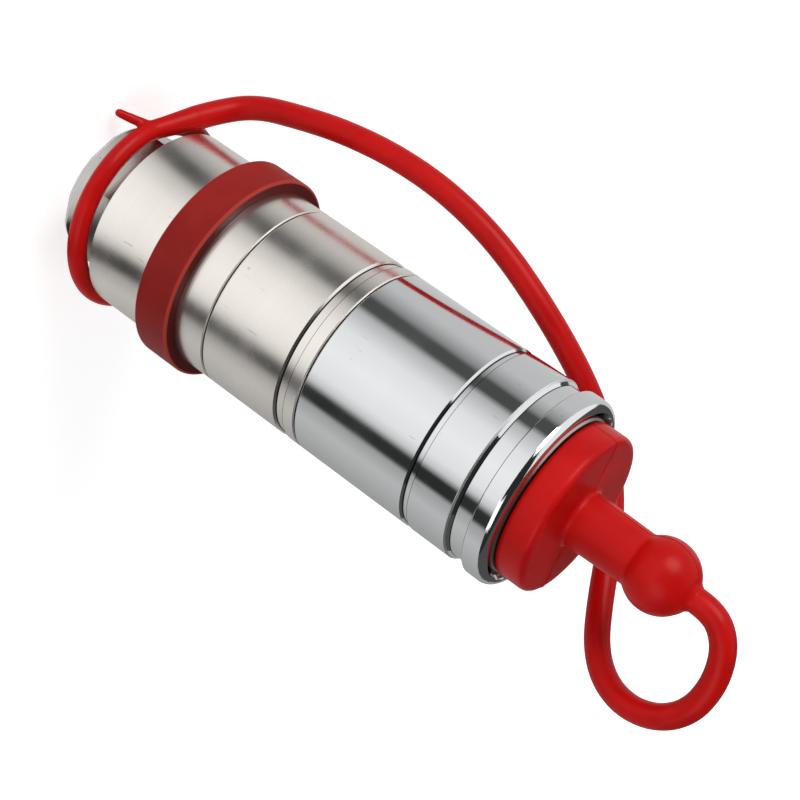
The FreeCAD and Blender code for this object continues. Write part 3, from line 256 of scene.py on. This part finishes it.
milled_zinc = steel(
    "milled_zinc", light=(0.6, 0.58, 0.55), dark=(0.46, 0.44, 0.415),
    smooth=0.2, rough=0.3, spacing=0.0003, relief=0.3, wear=0.8,
)
coat("port_adapter", milled_zinc)


def coil_tree():
    """Geometry Nodes tree: a wire wound on a cylinder, with closed turns at its ends."""
    steps_per_turn = 56
    tree = bpy.data.node_groups.new("wound_coil", "GeometryNodeTree")
    for label, kind, value in (
        ("Coil Radius", "NodeSocketFloat", 0.014),
        ("Wire Radius", "NodeSocketFloat", 0.001),
        ("Wire Sides", "NodeSocketInt", 16),
        ("Turns", "NodeSocketFloat", 6.0),
        ("Height", "NodeSocketFloat", 0.02),
        ("Foot", "NodeSocketFloat", 0.0),
        ("Closed Share", "NodeSocketFloat", 0.0),
        ("Closed Rise", "NodeSocketFloat", 0.0),
        ("Material", "NodeSocketMaterial", None),
    ):
        socket = tree.interface.new_socket(label, in_out="INPUT", socket_type=kind)
        if value is not None:
            socket.default_value = value
    tree.interface.new_socket("Geometry", in_out="OUTPUT", socket_type="NodeSocketGeometry")
    given = tree.nodes.new("NodeGroupInput").outputs
    radius = given["Coil Radius"]
    spiral = put(tree, "GeometryNodeCurveSpiral", {
        "Resolution": steps_per_turn, "Rotations": given["Turns"], "Start Radius": radius,
        "End Radius": radius, "Height": given["Height"],
    })
    share = put(tree, "GeometryNodeSplineParameter").outputs["Factor"]
    far_share = reckon(tree, "SUBTRACT", 1.0, given["Closed Share"])
    open_part = put(tree, "ShaderNodeMapRange", {
        "Value": share, "From Min": given["Closed Share"], "From Max": far_share,
    }).outputs["Result"]
    open_rise = reckon(tree, "SUBTRACT", given["Height"], given["Closed Rise"])
    rise = reckon(tree, "MULTIPLY_ADD", open_part, open_rise, given["Foot"])
    rise = reckon(tree, "MULTIPLY_ADD", share, given["Closed Rise"], rise)
    position = put(tree, "GeometryNodeInputPosition")
    place = put(tree, "ShaderNodeSeparateXYZ", {0: position.outputs[0]}).outputs
    spot = put(tree, "ShaderNodeCombineXYZ", {"X": place["X"], "Y": place["Y"], "Z": rise})
    wound = put(tree, "GeometryNodeSetPosition", {
        "Geometry": spiral.outputs[0], "Position": spot.outputs[0],
    })
    upright = put(tree, "GeometryNodeSetCurveNormal", {0: wound.outputs[0]}, mode="Z_UP")
    section = put(tree, "GeometryNodeCurvePrimitiveCircle", {
        "Resolution": given["Wire Sides"], "Radius": given["Wire Radius"],
    })
    wire = put(tree, "GeometryNodeCurveToMesh", {
        "Curve": upright.outputs[0], "Profile Curve": section.outputs[0], "Fill Caps": True,
    })
    whole = put(tree, "GeometryNodeRealizeInstances", {0: wire.outputs[0]})
    coated = put(tree, "GeometryNodeSetMaterial", {
        "Geometry": whole.outputs[0], "Material": given["Material"],
    })
    result = tree.nodes.new("NodeGroupOutput")
    tree.links.new(coated.outputs[0], result.inputs[0])
    return tree


wound_coil = coil_tree()


def show(name, mesh):
    """An object for a mesh, in the scene."""
    piece = bpy.data.objects.new(name, mesh)
    bpy.context.scene.collection.objects.link(piece)
    return piece


def grown(name, tree, values, smooth=True, seed=None):
    """Runs a Geometry Nodes tree with its inputs set, and keeps the result as a plain mesh."""
    piece = show(name, seed or bpy.data.meshes.new(name + "_seed"))
    modifier = piece.modifiers.new(name, "NODES")
    modifier.node_group = tree
    for item in tree.interface.items_tree:
        if item.in_out == "INPUT" and item.name in values:
            modifier[item.identifier] = values[item.name]
    bpy.context.view_layer.update()
    seen = piece.evaluated_get(bpy.context.evaluated_depsgraph_get())
    mesh = bpy.data.meshes.new_from_object(seen)
    piece.modifiers.clear()
    piece.data = mesh
    mesh.polygons.foreach_set("use_smooth", [smooth] * len(mesh.polygons))
    return piece


port_thread = grown("port_thread", wound_coil, {
    "Coil Radius": 0.00955,
    "Wire Radius": 0.0008,
    "Wire Sides": 4,
    "Turns": 7.2,
    "Height": 0.01306,
    "Foot": 0.0018,
    "Material": milled_zinc,
}, smooth=False)
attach(port_thread, "coupler_body")


# Valve body with its collar, guide and poppet. The body is turned steel, zinc plated. It is
# screwed into the adapter, and clamps the collar and the guide that carries the poppet.
inner_zinc = steel(
    "inner_zinc", light=(0.48, 0.46, 0.42), dark=(0.36, 0.345, 0.31),
    smooth=0.24, rough=0.34, spacing=0.00022, relief=0.3, wear=0.2,
)
machined_steel = steel(
    "machined_steel", light=(0.5, 0.5, 0.51), dark=(0.38, 0.38, 0.39),
    smooth=0.25, rough=0.38, spacing=0.0003, relief=0.4, wear=0.1,
)
coat("valve_body", inner_zinc)
coat("spring_collar", inner_zinc)
coat("poppet_guide", machined_steel)
coat("poppet", machined_steel)


# Locking balls. Eight hardened steel balls, ground and polished, each in its own
# tapered hole round the socket, held in by the sleeve's land.
polished_steel = steel(
    "polished_steel", light=(0.78, 0.78, 0.8), dark=(0.7, 0.7, 0.72),
    smooth=0.06, rough=0.1, spacing=0.002, relief=0.05, wear=0.1,
)
coat("locking_balls", polished_steel)


# Seals. Nitrile O-rings on the tail, on the poppet and in the socket, and a flat PTFE
# ring that backs the socket's O-ring, all snapped into turned grooves.
def moulded_skin():
    """Flow streaks and a soft grain of a moulded skin."""
    flow_range = (0.3, 0.7)
    grain_share, flow_share = 0.4, 0.6
    group, given, result = new_group(
        "moulded_skin", [("Grain", 2500.0), ("Flow", 90.0)], ["Tone", "Gloss", "Depth"]
    )
    spot = put(group, "ShaderNodeTexCoord").outputs["Object"]
    flow = put(group, "ShaderNodeTexNoise", {
        "Vector": spot, "Scale": given.outputs["Flow"], "Detail": 3.0, "Distortion": 0.6,
    })
    grain = put(group, "ShaderNodeTexNoise", {
        "Vector": spot, "Scale": given.outputs["Grain"], "Detail": 2.0,
    })
    tone = stretch(group, flow.outputs[0], *flow_range, 0.0, 1.0)
    flow_part = reckon(group, "MULTIPLY", tone, flow_share)
    gloss = reckon(group, "MULTIPLY_ADD", grain.outputs[0], grain_share, flow_part)
    group.links.new(tone, result.inputs["Tone"])
    group.links.new(gloss, result.inputs["Gloss"])
    group.links.new(grain.outputs[0], result.inputs["Depth"])
    return group


skin_marks = moulded_skin()
skin_depth = 0.00005
skin_gloss_range = (0.2, 0.8)


def moulding(name, light, dark, smooth, rough, grain, relief, gleam):
    """Rubber or plastic with a moulded skin. Gives the material, its tree and its colour."""
    material = bpy.data.materials.new(name)
    material.use_nodes = True
    tree = material.node_tree
    shader = tree.nodes["Principled BSDF"]
    shader.inputs["Specular IOR Level"].default_value = gleam
    skin = put(tree, "ShaderNodeGroup", node_tree=skin_marks)
    skin.inputs["Grain"].default_value = grain
    colour = between(tree, skin.outputs["Tone"], dark, light)
    tree.links.new(colour, shader.inputs["Base Color"])
    gloss = stretch(tree, skin.outputs["Gloss"], *skin_gloss_range, smooth, rough)
    tree.links.new(gloss, shader.inputs["Roughness"])
    bump = put(tree, "ShaderNodeBump", {
        "Height": skin.outputs["Depth"], "Strength": relief, "Distance": skin_depth,
    })
    tree.links.new(bump.outputs[0], shader.inputs["Normal"])
    return material, tree, colour


nitrile = moulding(
    "nitrile", light=(0.035, 0.035, 0.035), dark=(0.02, 0.02, 0.02),
    smooth=0.35, rough=0.5, grain=3000.0, relief=0.2, gleam=0.4,
)[0]
ptfe = moulding(
    "ptfe", light=(0.86, 0.86, 0.83), dark=(0.78, 0.78, 0.75),
    smooth=0.4, rough=0.5, grain=2500.0, relief=0.15, gleam=0.4,
)[0]
for ring in ("adapter_o_ring", "bore_o_ring", "poppet_seal"):
    coat(ring, nitrile)
coat("backup_ring", ptfe)


# Springs. Drawn steel wire, wound with closed ends: two centring springs either side
# of the collar, and a lighter one that holds the poppet on its seat.
drawn_wire = steel(
    "drawn_wire", light=(0.46, 0.45, 0.44), dark=(0.34, 0.34, 0.34),
    smooth=0.28, rough=0.4, spacing=0.0008, relief=0.2, wear=0.2,
)


def spring(name, coil, wire, turns, low, high, moving_body, moving_end):
    """A compression spring between two seats. Its moving body and moving end are not used."""
    closed_turns = 1.0
    slack = 0.00005
    piece = grown(name + "_wound", wound_coil, {
        "Coil Radius": coil,
        "Wire Radius": wire,
        "Turns": turns,
        "Height": high - low - 2 * wire - 2 * slack,
        "Foot": low + wire + slack,
        "Closed Share": closed_turns / turns,
        "Closed Rise": 2 * wire * turns,
        "Material": drawn_wire,
    })
    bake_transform(piece)
    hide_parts(name)


centring = {"coil": 0.0148, "wire": 0.001, "turns": 6.0, "moving_body": "outer_sleeve"}
spring("rear_centring_spring", **centring, low=0.034, high=0.05865, moving_end=0.034)
spring("front_centring_spring", **centring, low=0.06165, high=0.0863, moving_end=0.0863)
spring(
    "poppet_spring", coil=0.00575, wire=0.0006, turns=9.0, moving_body="poppet_valve",
    low=0.039, high=0.0773, moving_end=0.0773,
)


# Outer sleeve. Three turned steel pieces screwed together and plated: the rear and
# middle ones satin, the front one brighter, with the clip grooves, the neck and the lip.
first_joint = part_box("rear_sleeve")[1][2]
second_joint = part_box("front_sleeve")[0][2]
rear_groove_foot, rear_groove_front = 0.0604, 0.06225
front_groove_foot, front_groove_front = 0.0906, 0.0918
neck_back, neck_foot, neck_front = 0.1003, 0.10105, 0.10436
joint_seam = 0.00014
groove_seam = 0.00012
corner_seam = 0.00008
joint_chamfer = 0.0003
joint_matt = 0.35
edge_width, edge_matt = 0.0002, 0.4
nose_width, nose_polish = 0.0088, -0.045
satin_steel = steel(
    "satin_steel", light=(0.9, 0.86, 0.805), dark=(0.8, 0.76, 0.705),
    smooth=0.2, rough=0.28, spacing=0.00025, relief=0.25, wear=0.7,
    # Seam rings: dark joint lines, and painted shade at the rear groove's floor and front corner.
    seams=[
        (first_joint, joint_seam),
        (second_joint, joint_seam),
        (rear_groove_foot, groove_seam),
        (rear_groove_front, corner_seam),
    ],
    matt=[(first_joint, joint_chamfer, joint_matt), (second_joint, joint_chamfer, joint_matt)],
)
bright_steel = steel(
    "bright_steel", light=(0.785, 0.8, 0.805), dark=(0.745, 0.765, 0.775),
    smooth=0.07, rough=0.12, spacing=0.0002, relief=0.05, wear=0.7,
    # Seam rings: dark joint lines, and painted shade in the front groove and at the neck's
    # corners.
    seams=[
        (second_joint, joint_seam),
        (front_groove_foot, groove_seam),
        (front_groove_front, corner_seam),
        (neck_foot, corner_seam),
        (neck_front, joint_seam),
    ],
    matt=[
        (neck_back, edge_width, edge_matt),
        (neck_back, nose_width, nose_polish),
        (second_joint, joint_chamfer, joint_matt),
    ],
)
coat("rear_sleeve", satin_steel)
coat("middle_sleeve", satin_steel)
coat("front_sleeve", bright_steel)


# Colour ring. A dark red plastic band that marks the hydraulic circuit, snapped into
# the rear sleeve's groove. Its front corner has a painted highlight, and its front face painted
# shade.
dark_red_band, band_tree, band_red = moulding(
    "dark_red_band", light=(0.34, 0.017, 0.013), dark=(0.25, 0.011, 0.009),
    smooth=0.42, rough=0.55, grain=2200.0, relief=0.3, gleam=0.12,
)
# A painted highlight along the band's front corner.
corner_from, corner_to, corner_share = 0.0006, 0.0004, 0.6
# Painted shade over the band's front face, the face that looks up the axis.
front_from, front_to, front_share = 0.75, 0.95, 0.8
corner_highlight_red = (0.55, 0.07, 0.045)
face_shade_red = (0.05, 0.004, 0.004)
band_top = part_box("colour_ring")[1]
band_corner = band_top[2] + band_top[0]
band_place = put(band_tree, "ShaderNodeTexCoord").outputs
band_axes = put(band_tree, "ShaderNodeSeparateXYZ", {0: band_place["Object"]}).outputs
band_flat = put(band_tree, "ShaderNodeCombineXYZ", {"X": band_axes["X"], "Y": band_axes["Y"]})
band_radius = put(
    band_tree, "ShaderNodeVectorMath", {0: band_flat.outputs[0]}, operation="LENGTH"
).outputs["Value"]
band_reach = reckon(band_tree, "ADD", band_axes["Z"], band_radius)
corner_highlight = stretch(
    band_tree, band_reach, band_corner - corner_from, band_corner - corner_to, 0.0, corner_share
)
band_facing = put(band_tree, "ShaderNodeSeparateXYZ", {0: band_place["Normal"]}).outputs["Z"]
face_shade = stretch(band_tree, band_facing, front_from, front_to, 0.0, front_share)
band_with_shade = between(band_tree, face_shade, band_red, face_shade_red)
band_with_highlight = between(band_tree, corner_highlight, band_with_shade, corner_highlight_red)
band_tree.links.new(band_with_highlight, band_tree.nodes["Principled BSDF"].inputs["Base Color"])
coat("colour_ring", dark_red_band)


# Lanyard strap. A round PVC strap, 4.8 mm thick, that leaves the ball, loops back over
# the sleeve and ends in the eye. It is moulded in one; here it is made in two halves.
points_to_plug = [
    (0, 0, 140.0),
    (0, 0, 143.2),
    (1.9, 0.6, 146.6),
    (5.6, 1.6, 148.9),
    (11.0, 2.9, 149.9),
    (17.0, 4.7, 148.8),
    (21.6, 6.4, 144.9),
    (23.9, 8.2, 138.9),
    (23.2, 10.3, 132.6),
    (19.6, 12.6, 127.2),
    (13.4, 15.4, 122.8),
    (5.9, 19.2, 118.2),
    (-1.8, 22.4, 112.8),
    (-8.4, 24.0, 107.0),
    (-14.2, 22.4, 101.0),
    (-19.8, 18.0, 94.2),
]
points_to_eye = [
    (-26.0, 12.6, 84.0),
    (-31.4, 8.8, 72.0),
    (-34.4, 6.5, 59.0),
    (-34.9, 4.9, 46.4),
    (-33.5, 4.2, 34.2),
    (-31.1, 4.2, 24.2),
    (-28.6, 3.9, 15.9),
    (-24.6, 0.9, 11.3),
    (-20.6, -3.8, 9.6),
]
plug_route = [Vector(spot) / 1000 for spot in points_to_plug]
eye_route = [Vector(spot) / 1000 for spot in points_to_eye]
split = (plug_route[-1] + eye_route[0]) / 2
strap_radius = 0.0024


def strap_line(spots):
    """The centreline of a strap, read from the smooth spline that its points steer."""
    curve = bpy.data.curves.new("strap_line", "CURVE")
    curve.dimensions = "3D"
    curve.resolution_u = 10
    spline = curve.splines.new("NURBS")
    spline.points.add(len(spots) - 1)
    for point, spot in zip(spline.points, spots):
        point.co = (*spot, 1)
    spline.order_u = 3
    spline.use_endpoint_u = True
    holder = show("strap_line", curve)
    bpy.context.view_layer.update()
    seen = holder.evaluated_get(bpy.context.evaluated_depsgraph_get())
    mesh = bpy.data.meshes.new_from_object(seen)
    line = [vertex.co.copy() for vertex in mesh.vertices]
    bpy.data.objects.remove(holder)
    bpy.data.meshes.remove(mesh)
    return line


def strap_tube(name, line, radius, start_side, material):
    """A round tube on a line, with its length and its angle as UV."""
    sides = 28
    runs = [0.0]
    for before, after in zip(line, line[1:]):
        runs.append(runs[-1] + (after - before).length)
    around = start_side
    spots, faces, uvs = [], [], []
    for i, middle in enumerate(line):
        heading = (line[min(i + 1, len(line) - 1)] - line[max(i - 1, 0)]).normalized()
        around = (around - heading * around.dot(heading)).normalized()
        across = heading.cross(around)
        for k in range(sides):
            angle = 2 * math.pi * k / sides
            spots.append(middle + radius * (math.cos(angle) * around + math.sin(angle) * across))
    for i in range(1, len(line)):
        low = (i - 1) * sides
        for k in range(sides):
            following = (k + 1) % sides
            faces.append((low + k, low + following, low + sides + following, low + sides + k))
            uvs.append(((runs[i - 1], k / sides), (runs[i - 1], (k + 1) / sides),
                        (runs[i], (k + 1) / sides), (runs[i], k / sides)))
    first_cap = range(len(spots), len(spots) + sides)
    last_cap = range(len(spots) + sides, len(spots) + 2 * sides)
    spots += spots[:sides] + spots[-sides:]
    faces += [tuple(reversed(first_cap)), tuple(last_cap)]
    uvs += [((0.0, 0.0),) * sides, ((runs[-1], 0.0),) * sides]
    mesh = bpy.data.meshes.new(name)
    mesh.from_pydata([tuple(spot) for spot in spots], [], faces)
    layer = mesh.uv_layers.new(name="strap_uv")
    corner = 0
    for face_uvs in uvs:
        for uv in face_uvs:
            layer.data[corner].uv = uv
            corner += 1
    mesh.polygons.foreach_set("use_smooth", [len(face) == 4 for face in faces])
    mesh.materials.append(material)
    return show(name, mesh)


soft_pvc = {
    "light": (0.62, 0.006, 0.005),
    "dark": (0.52, 0.004, 0.004),
    "smooth": 0.28,
    "rough": 0.38,
    "grain": 900.0,
    "relief": 0.08,
    "gleam": 0.13,
}
line_red = (0.25, 0.004, 0.004)


def strap_pvc():
    """The lanyard's PVC with the mould's fine line along both sides of the strap."""
    line_half, line_share = 0.025, 0.5
    material, tree, colour = moulding("strap_pvc", **soft_pvc)
    strap_uv = put(tree, "ShaderNodeUVMap").outputs[0]
    around = put(tree, "ShaderNodeSeparateXYZ", {0: strap_uv}).outputs["Y"]
    twice = reckon(tree, "FRACT", reckon(tree, "MULTIPLY", around, 2.0))
    off_line = reckon(tree, "ABSOLUTE", reckon(tree, "SUBTRACT", twice, 0.5))
    line = stretch(tree, off_line, 0.0, line_half, 1.0, 0.0)
    shaded = between(tree, reckon(tree, "MULTIPLY", line, line_share), colour, line_red)
    tree.links.new(shaded, tree.nodes["Principled BSDF"].inputs["Base Color"])
    return material


strap_red = strap_pvc()
first_side = (eye_route[0] - plug_route[-1]).cross(Vector((0, 0, 1))).normalized()
rear_line = strap_line([split] + eye_route)
front_line = strap_line(plug_route + [split])
strap_rear = strap_tube("strap_to_eye", rear_line, strap_radius, first_side, strap_red)
strap_front = strap_tube("strap_to_plug", front_line[::-1], strap_radius, -first_side, strap_red)
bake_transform(strap_rear)
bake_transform(strap_front)
for strap, node in ((strap_rear, "lanyard_strap_rear"), (strap_front, "lanyard_strap_front")):
    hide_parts(node)


# Lanyard eye. The strap's end is moulded into a ring that lies loosely round the hexagon,
# close under the sleeve's end, with a small pull tab. The strap's foot runs into the ring.
red_pvc = moulding("red_pvc", **soft_pvc)[0]
stub_radius = 0.00233
same_spot = 0.000001
eye_stub_steps = 14


def run_together(name, node, strap_end, voxel, rounds):
    """A CAD node and the strap's end as one skin, with the joins filled as a mould leaves them."""
    side = (strap_end[1] - strap_end[0]).orthogonal().normalized()
    stub = strap_tube(name + "_stub", strap_end, stub_radius, side, red_pvc)
    both = bmesh.new()
    both.from_mesh(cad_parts[node].data)
    bmesh.ops.remove_doubles(both, verts=both.verts[:], dist=same_spot)
    both.from_mesh(stub.data)
    bpy.data.objects.remove(stub)
    mesh = bpy.data.meshes.new(name)
    both.to_mesh(mesh)
    both.free()
    piece = show(name, mesh)
    remesh = piece.modifiers.new("remesh", "REMESH")
    remesh.mode = "VOXEL"
    remesh.voxel_size = voxel
    relax = piece.modifiers.new("relax", "SMOOTH")
    relax.factor = 0.5
    relax.iterations = rounds
    bpy.context.view_layer.update()
    seen = piece.evaluated_get(bpy.context.evaluated_depsgraph_get())
    soft = bpy.data.meshes.new_from_object(seen)
    piece.modifiers.clear()
    piece.data = soft
    soft.polygons.foreach_set("use_smooth", [True] * len(soft.polygons))
    soft.materials.clear()
    soft.materials.append(red_pvc)
    return piece


eye_end = rear_line[-eye_stub_steps:]
eye = run_together("lanyard_eye", "lanyard_ring", strap_end=eye_end, voxel=0.0003, rounds=6)
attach(eye, "outer_sleeve")
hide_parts("lanyard_ring")


# Dust plug. The other end of the moulding: an insert with a sealing rib, a disc, a stem
# and a ball, from a two-part mould whose halves leave a fine raised line along them.
plug_stub_steps = 12
plug_end = front_line[:plug_stub_steps]
plug = run_together("soft_plug", "dust_plug", strap_end=plug_end, voxel=0.00028, rounds=5)
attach(plug, "plug")
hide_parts("dust_plug")


def raised_line():
    """Geometry Nodes tree: a thin round bead along the edges that it is given."""
    bead_sides = 8
    tree = bpy.data.node_groups.new("raised_line", "GeometryNodeTree")
    tree.interface.new_socket("Edges", in_out="INPUT", socket_type="NodeSocketGeometry")
    tree.interface.new_socket("Bead Radius", in_out="INPUT", socket_type="NodeSocketFloat")
    tree.interface.new_socket("Material", in_out="INPUT", socket_type="NodeSocketMaterial")
    tree.interface.new_socket("Geometry", in_out="OUTPUT", socket_type="NodeSocketGeometry")
    given = tree.nodes.new("NodeGroupInput").outputs
    line = put(tree, "GeometryNodeMeshToCurve", {0: given["Edges"]})
    section = put(tree, "GeometryNodeCurvePrimitiveCircle", {
        "Resolution": bead_sides, "Radius": given["Bead Radius"],
    })
    bead = put(tree, "GeometryNodeCurveToMesh", {
        "Curve": line.outputs[0], "Profile Curve": section.outputs[0], "Fill Caps": True,
    })
    whole = put(tree, "GeometryNodeRealizeInstances", {0: bead.outputs[0]})
    coated = put(tree, "GeometryNodeSetMaterial", {
        "Geometry": whole.outputs[0], "Material": given["Material"],
    })
    result = tree.nodes.new("NodeGroupOutput")
    tree.links.new(coated.outputs[0], result.inputs[0])
    return tree


def outline_in_plane(piece, turn, low, high):
    """The edges in which a plane through the axis meets a piece's skin, between two heights."""
    skin = bmesh.new()
    skin.from_mesh(piece.data)
    met = bmesh.ops.bisect_plane(
        skin,
        geom=skin.verts[:] + skin.edges[:] + skin.faces[:],
        plane_co=(0, 0, 0),
        plane_no=(-math.sin(turn), math.cos(turn), 0),
    )["geom_cut"]
    spots, edges = {}, []
    for edge in met:
        if isinstance(edge, bmesh.types.BMEdge) and all(low < v.co.z < high for v in edge.verts):
            edges.append([spots.setdefault(v.index, (len(spots), v.co[:]))[0] for v in edge.verts])
    mesh = bpy.data.meshes.new(piece.name + "_outline")
    mesh.from_pydata([place for _, place in spots.values()], edges, [])
    skin.free()
    return mesh


mould_turn = math.radians(198)
above_mouth, below_strap = 0.1092, 0.1392
mould_outline = outline_in_plane(plug, mould_turn, above_mouth, below_strap)
mould_line = grown("plug_mould_line", raised_line(), {
    "Bead Radius": 0.0001,
    "Material": red_pvc,
}, seed=mould_outline)
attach(mould_line, "plug")


# Studio. A pale floor and three large soft lamps. A round card on the floor and a dark
# hood round three sides, seen only in reflections, draw light and dark bands on the steel.
def studio_sheet(name, spots, faces):
    """A sheet that stands in the studio, with its material's tree and shader."""
    mesh = bpy.data.meshes.new(name)
    mesh.from_pydata(spots, [], faces)
    material = bpy.data.materials.new(name)
    material.use_nodes = True
    mesh.materials.append(material)
    sheet = show(name, mesh)
    return sheet, material.node_tree, material.node_tree.nodes["Principled BSDF"]


def background_rays(tree):
    """1 for the rays that see the background: straight, mirrored or through glass."""
    path = put(tree, "ShaderNodeLightPath").outputs
    seen = reckon(tree, "MAXIMUM", path["Is Camera Ray"], path["Is Glossy Ray"])
    return reckon(tree, "MAXIMUM", seen, path["Is Transmission Ray"])


floor_half = 4.0
floor_sides = ((-1, -1), (1, -1), (1, 1), (-1, 1))
floor_corners = [(x * floor_half, y * floor_half, 0) for x, y in floor_sides]
_, floor_tree, floor_shader = studio_sheet("floor", floor_corners, [(0, 1, 2, 3)])
floor_shader.inputs["Base Color"].default_value = (0.85, 0.85, 0.85, 1)
floor_shader.inputs["Roughness"].default_value = 0.9
floor_shader.inputs["Emission Color"].default_value = (1, 1, 1, 1)
floor_place = put(floor_tree, "ShaderNodeTexCoord").outputs["Object"]
floor_away = put(
    floor_tree, "ShaderNodeVectorMath", {0: floor_place}, operation="LENGTH"
).outputs["Value"]
floor_near, floor_far, near_glow, far_glow = 0.15, 1.0, 0.6, 1.0
floor_level = stretch(floor_tree, floor_away, floor_near, floor_far, near_glow, far_glow)
floor_glow = reckon(floor_tree, "MULTIPLY", background_rays(floor_tree), floor_level)
floor_tree.links.new(floor_glow, floor_shader.inputs["Emission Strength"])

card_reach = 2.0
card_sides = 48
card_lift = 0.0005
hood_foot = math.radians(12)
card_turns = [2 * math.pi * k / card_sides for k in range(card_sides)]
card_spots = [
    (card_reach * math.cos(turn), card_reach * math.sin(turn), height)
    for height in (card_lift, card_reach * math.tan(hood_foot))
    for turn in card_turns
]
card_faces = [tuple(range(card_sides))]
for k in range(card_sides):
    following = (k + 1) % card_sides
    card_faces.append((k, k + card_sides, following + card_sides, following))
card, card_tree, card_shader = studio_sheet("round_card", card_spots, card_faces)
card_place = put(card_tree, "ShaderNodeTexCoord").outputs["Object"]
card_axes = put(card_tree, "ShaderNodeSeparateXYZ", {0: card_place}).outputs
card_angle = reckon(card_tree, "ARCTAN2", card_axes["Y"], card_axes["X"])
card_share = stretch(card_tree, card_angle, -math.pi, math.pi, 0.0, 1.0)
card_shades = put(card_tree, "ShaderNodeValToRGB", {0: card_share})
# Degrees round the axis from +X, and how light the card is there.
shades = [
    (-180, 0.5), (-168, 0.3), (-162, 0.08), (-149, 0.08), (-142, 0.55), (-118, 0.95), (-90, 1.05),
    (-64, 0.95), (-54, 0.7), (-46, 0.03), (-33, 0.03), (-28, 0.42), (-8, 0.58), (40, 0.4),
    (80, 0.32), (96, 0.66), (170, 0.62), (180, 0.5),
]
while len(card_shades.color_ramp.elements) < len(shades):
    card_shades.color_ramp.elements.new(0.5)
for element, (degrees, shade) in zip(card_shades.color_ramp.elements, shades):
    element.position = (degrees + 180) / 360
    element.color = (shade, shade, shade, 1)
card_shader.inputs["Base Color"].default_value = (0, 0, 0, 1)
card_shader.inputs["Specular IOR Level"].default_value = 0.0
card_shader.inputs["Emission Strength"].default_value = 1.0
card_tree.links.new(card_shades.outputs[0], card_shader.inputs["Emission Color"])


def dark_hood(name, low_turn, high_turn, shade):
    """A part of a dark dome that hangs round the lamps, open to the side of the key lamp."""
    reach, steps_round, steps_up = 2.2, 24, 12
    almost_up = math.pi / 2 - 0.001
    spots, faces = [], []
    for i in range(steps_round + 1):
        turn = math.radians(low_turn + (high_turn - low_turn) * i / steps_round)
        for j in range(steps_up + 1):
            rise = hood_foot + (almost_up - hood_foot) * j / steps_up
            flat = reach * math.cos(rise)
            spots.append((flat * math.cos(turn), flat * math.sin(turn), reach * math.sin(rise)))
    for i in range(steps_round):
        for j in range(steps_up):
            k = i * (steps_up + 1) + j
            faces.append((k, k + 1, k + steps_up + 2, k + steps_up + 1))
    hood, _, hood_shader = studio_sheet(name, spots, faces)
    hood_shader.inputs["Base Color"].default_value = (0, 0, 0, 1)
    hood_shader.inputs["Specular IOR Level"].default_value = 0.0
    hood_shader.inputs["Emission Color"].default_value = (shade, shade, shade, 1)
    hood_shader.inputs["Emission Strength"].default_value = 1.0
    return hood


front_hood = dark_hood("front_hood", low_turn=-137, high_turn=5, shade=0.025)
far_hood = dark_hood("far_hood", low_turn=5, high_turn=125, shade=0.08)
for sheet in (card, front_hood, far_hood):
    sheet.visible_camera = False
    sheet.visible_diffuse = False
    sheet.visible_shadow = False


lamp_width = 0.9
lamp_aim = Vector((0, 0, 0.07))


def soft_lamp(name, spot, power):
    """A square soft lamp that faces the coupler."""
    lamp = bpy.data.lights.new(name, "AREA")
    lamp.shape = "SQUARE"
    lamp.size = lamp_width
    lamp.energy = power
    holder = show(name, lamp)
    aim = lamp_aim - Vector(spot)
    facing = aim.to_track_quat("-Z", "Y").to_matrix().to_4x4()
    holder.matrix_world = Matrix.Translation(spot) @ facing
    return holder


soft_lamp("key_lamp", spot=(-1.2, -0.8, 0.55), power=13.0)
soft_lamp("fill_lamp", spot=(0.9, -1.0, 0.6), power=4.0)
back_lamp = soft_lamp("back_lamp", spot=(0.3, 1.2, 0.8), power=4.0)
back_lamp.visible_glossy = False

world = bpy.data.worlds.new("studio")
bpy.context.scene.world = world
world.use_nodes = True
surround = world.node_tree.nodes["Background"]
upward_share = put(world.node_tree, "ShaderNodeSeparateXYZ", {
    0: put(world.node_tree, "ShaderNodeTexCoord").outputs["Generated"],
}).outputs["Z"]
light_low, light_above = 0.5, 0.15
soft_level = stretch(world.node_tree, upward_share, 0.0, 1.0, light_low, light_above)
strength = stretch(world.node_tree, background_rays(world.node_tree), 0.0, 1.0, soft_level, 1.0)
world.node_tree.links.new(strength, surround.inputs["Strength"])
surround.inputs["Color"].default_value = (1, 1, 1, 1)

picture_width = 800
focal_pixels = 1860
lens = bpy.data.cameras.new("camera")
lens.sensor_width = 36.0
lens.lens = lens.sensor_width * focal_pixels / picture_width
lens.clip_start = 0.01
camera = show("camera", lens)
camera_spot = (-0.0499, -0.3092, 0.2024)
picture_down = Vector((-0.839, -0.082, -0.538))
looking = Vector((0.152, 0.914, -0.377)).normalized()
across = looking.cross(picture_down).normalized()
upward = across.cross(looking)
facing = Matrix((across, upward, -looking)).transposed().to_4x4()
camera.matrix_world = Matrix.Translation(camera_spot) @ facing
bpy.context.scene.camera = camera
bpy.context.scene.view_settings.view_transform = "Standard"
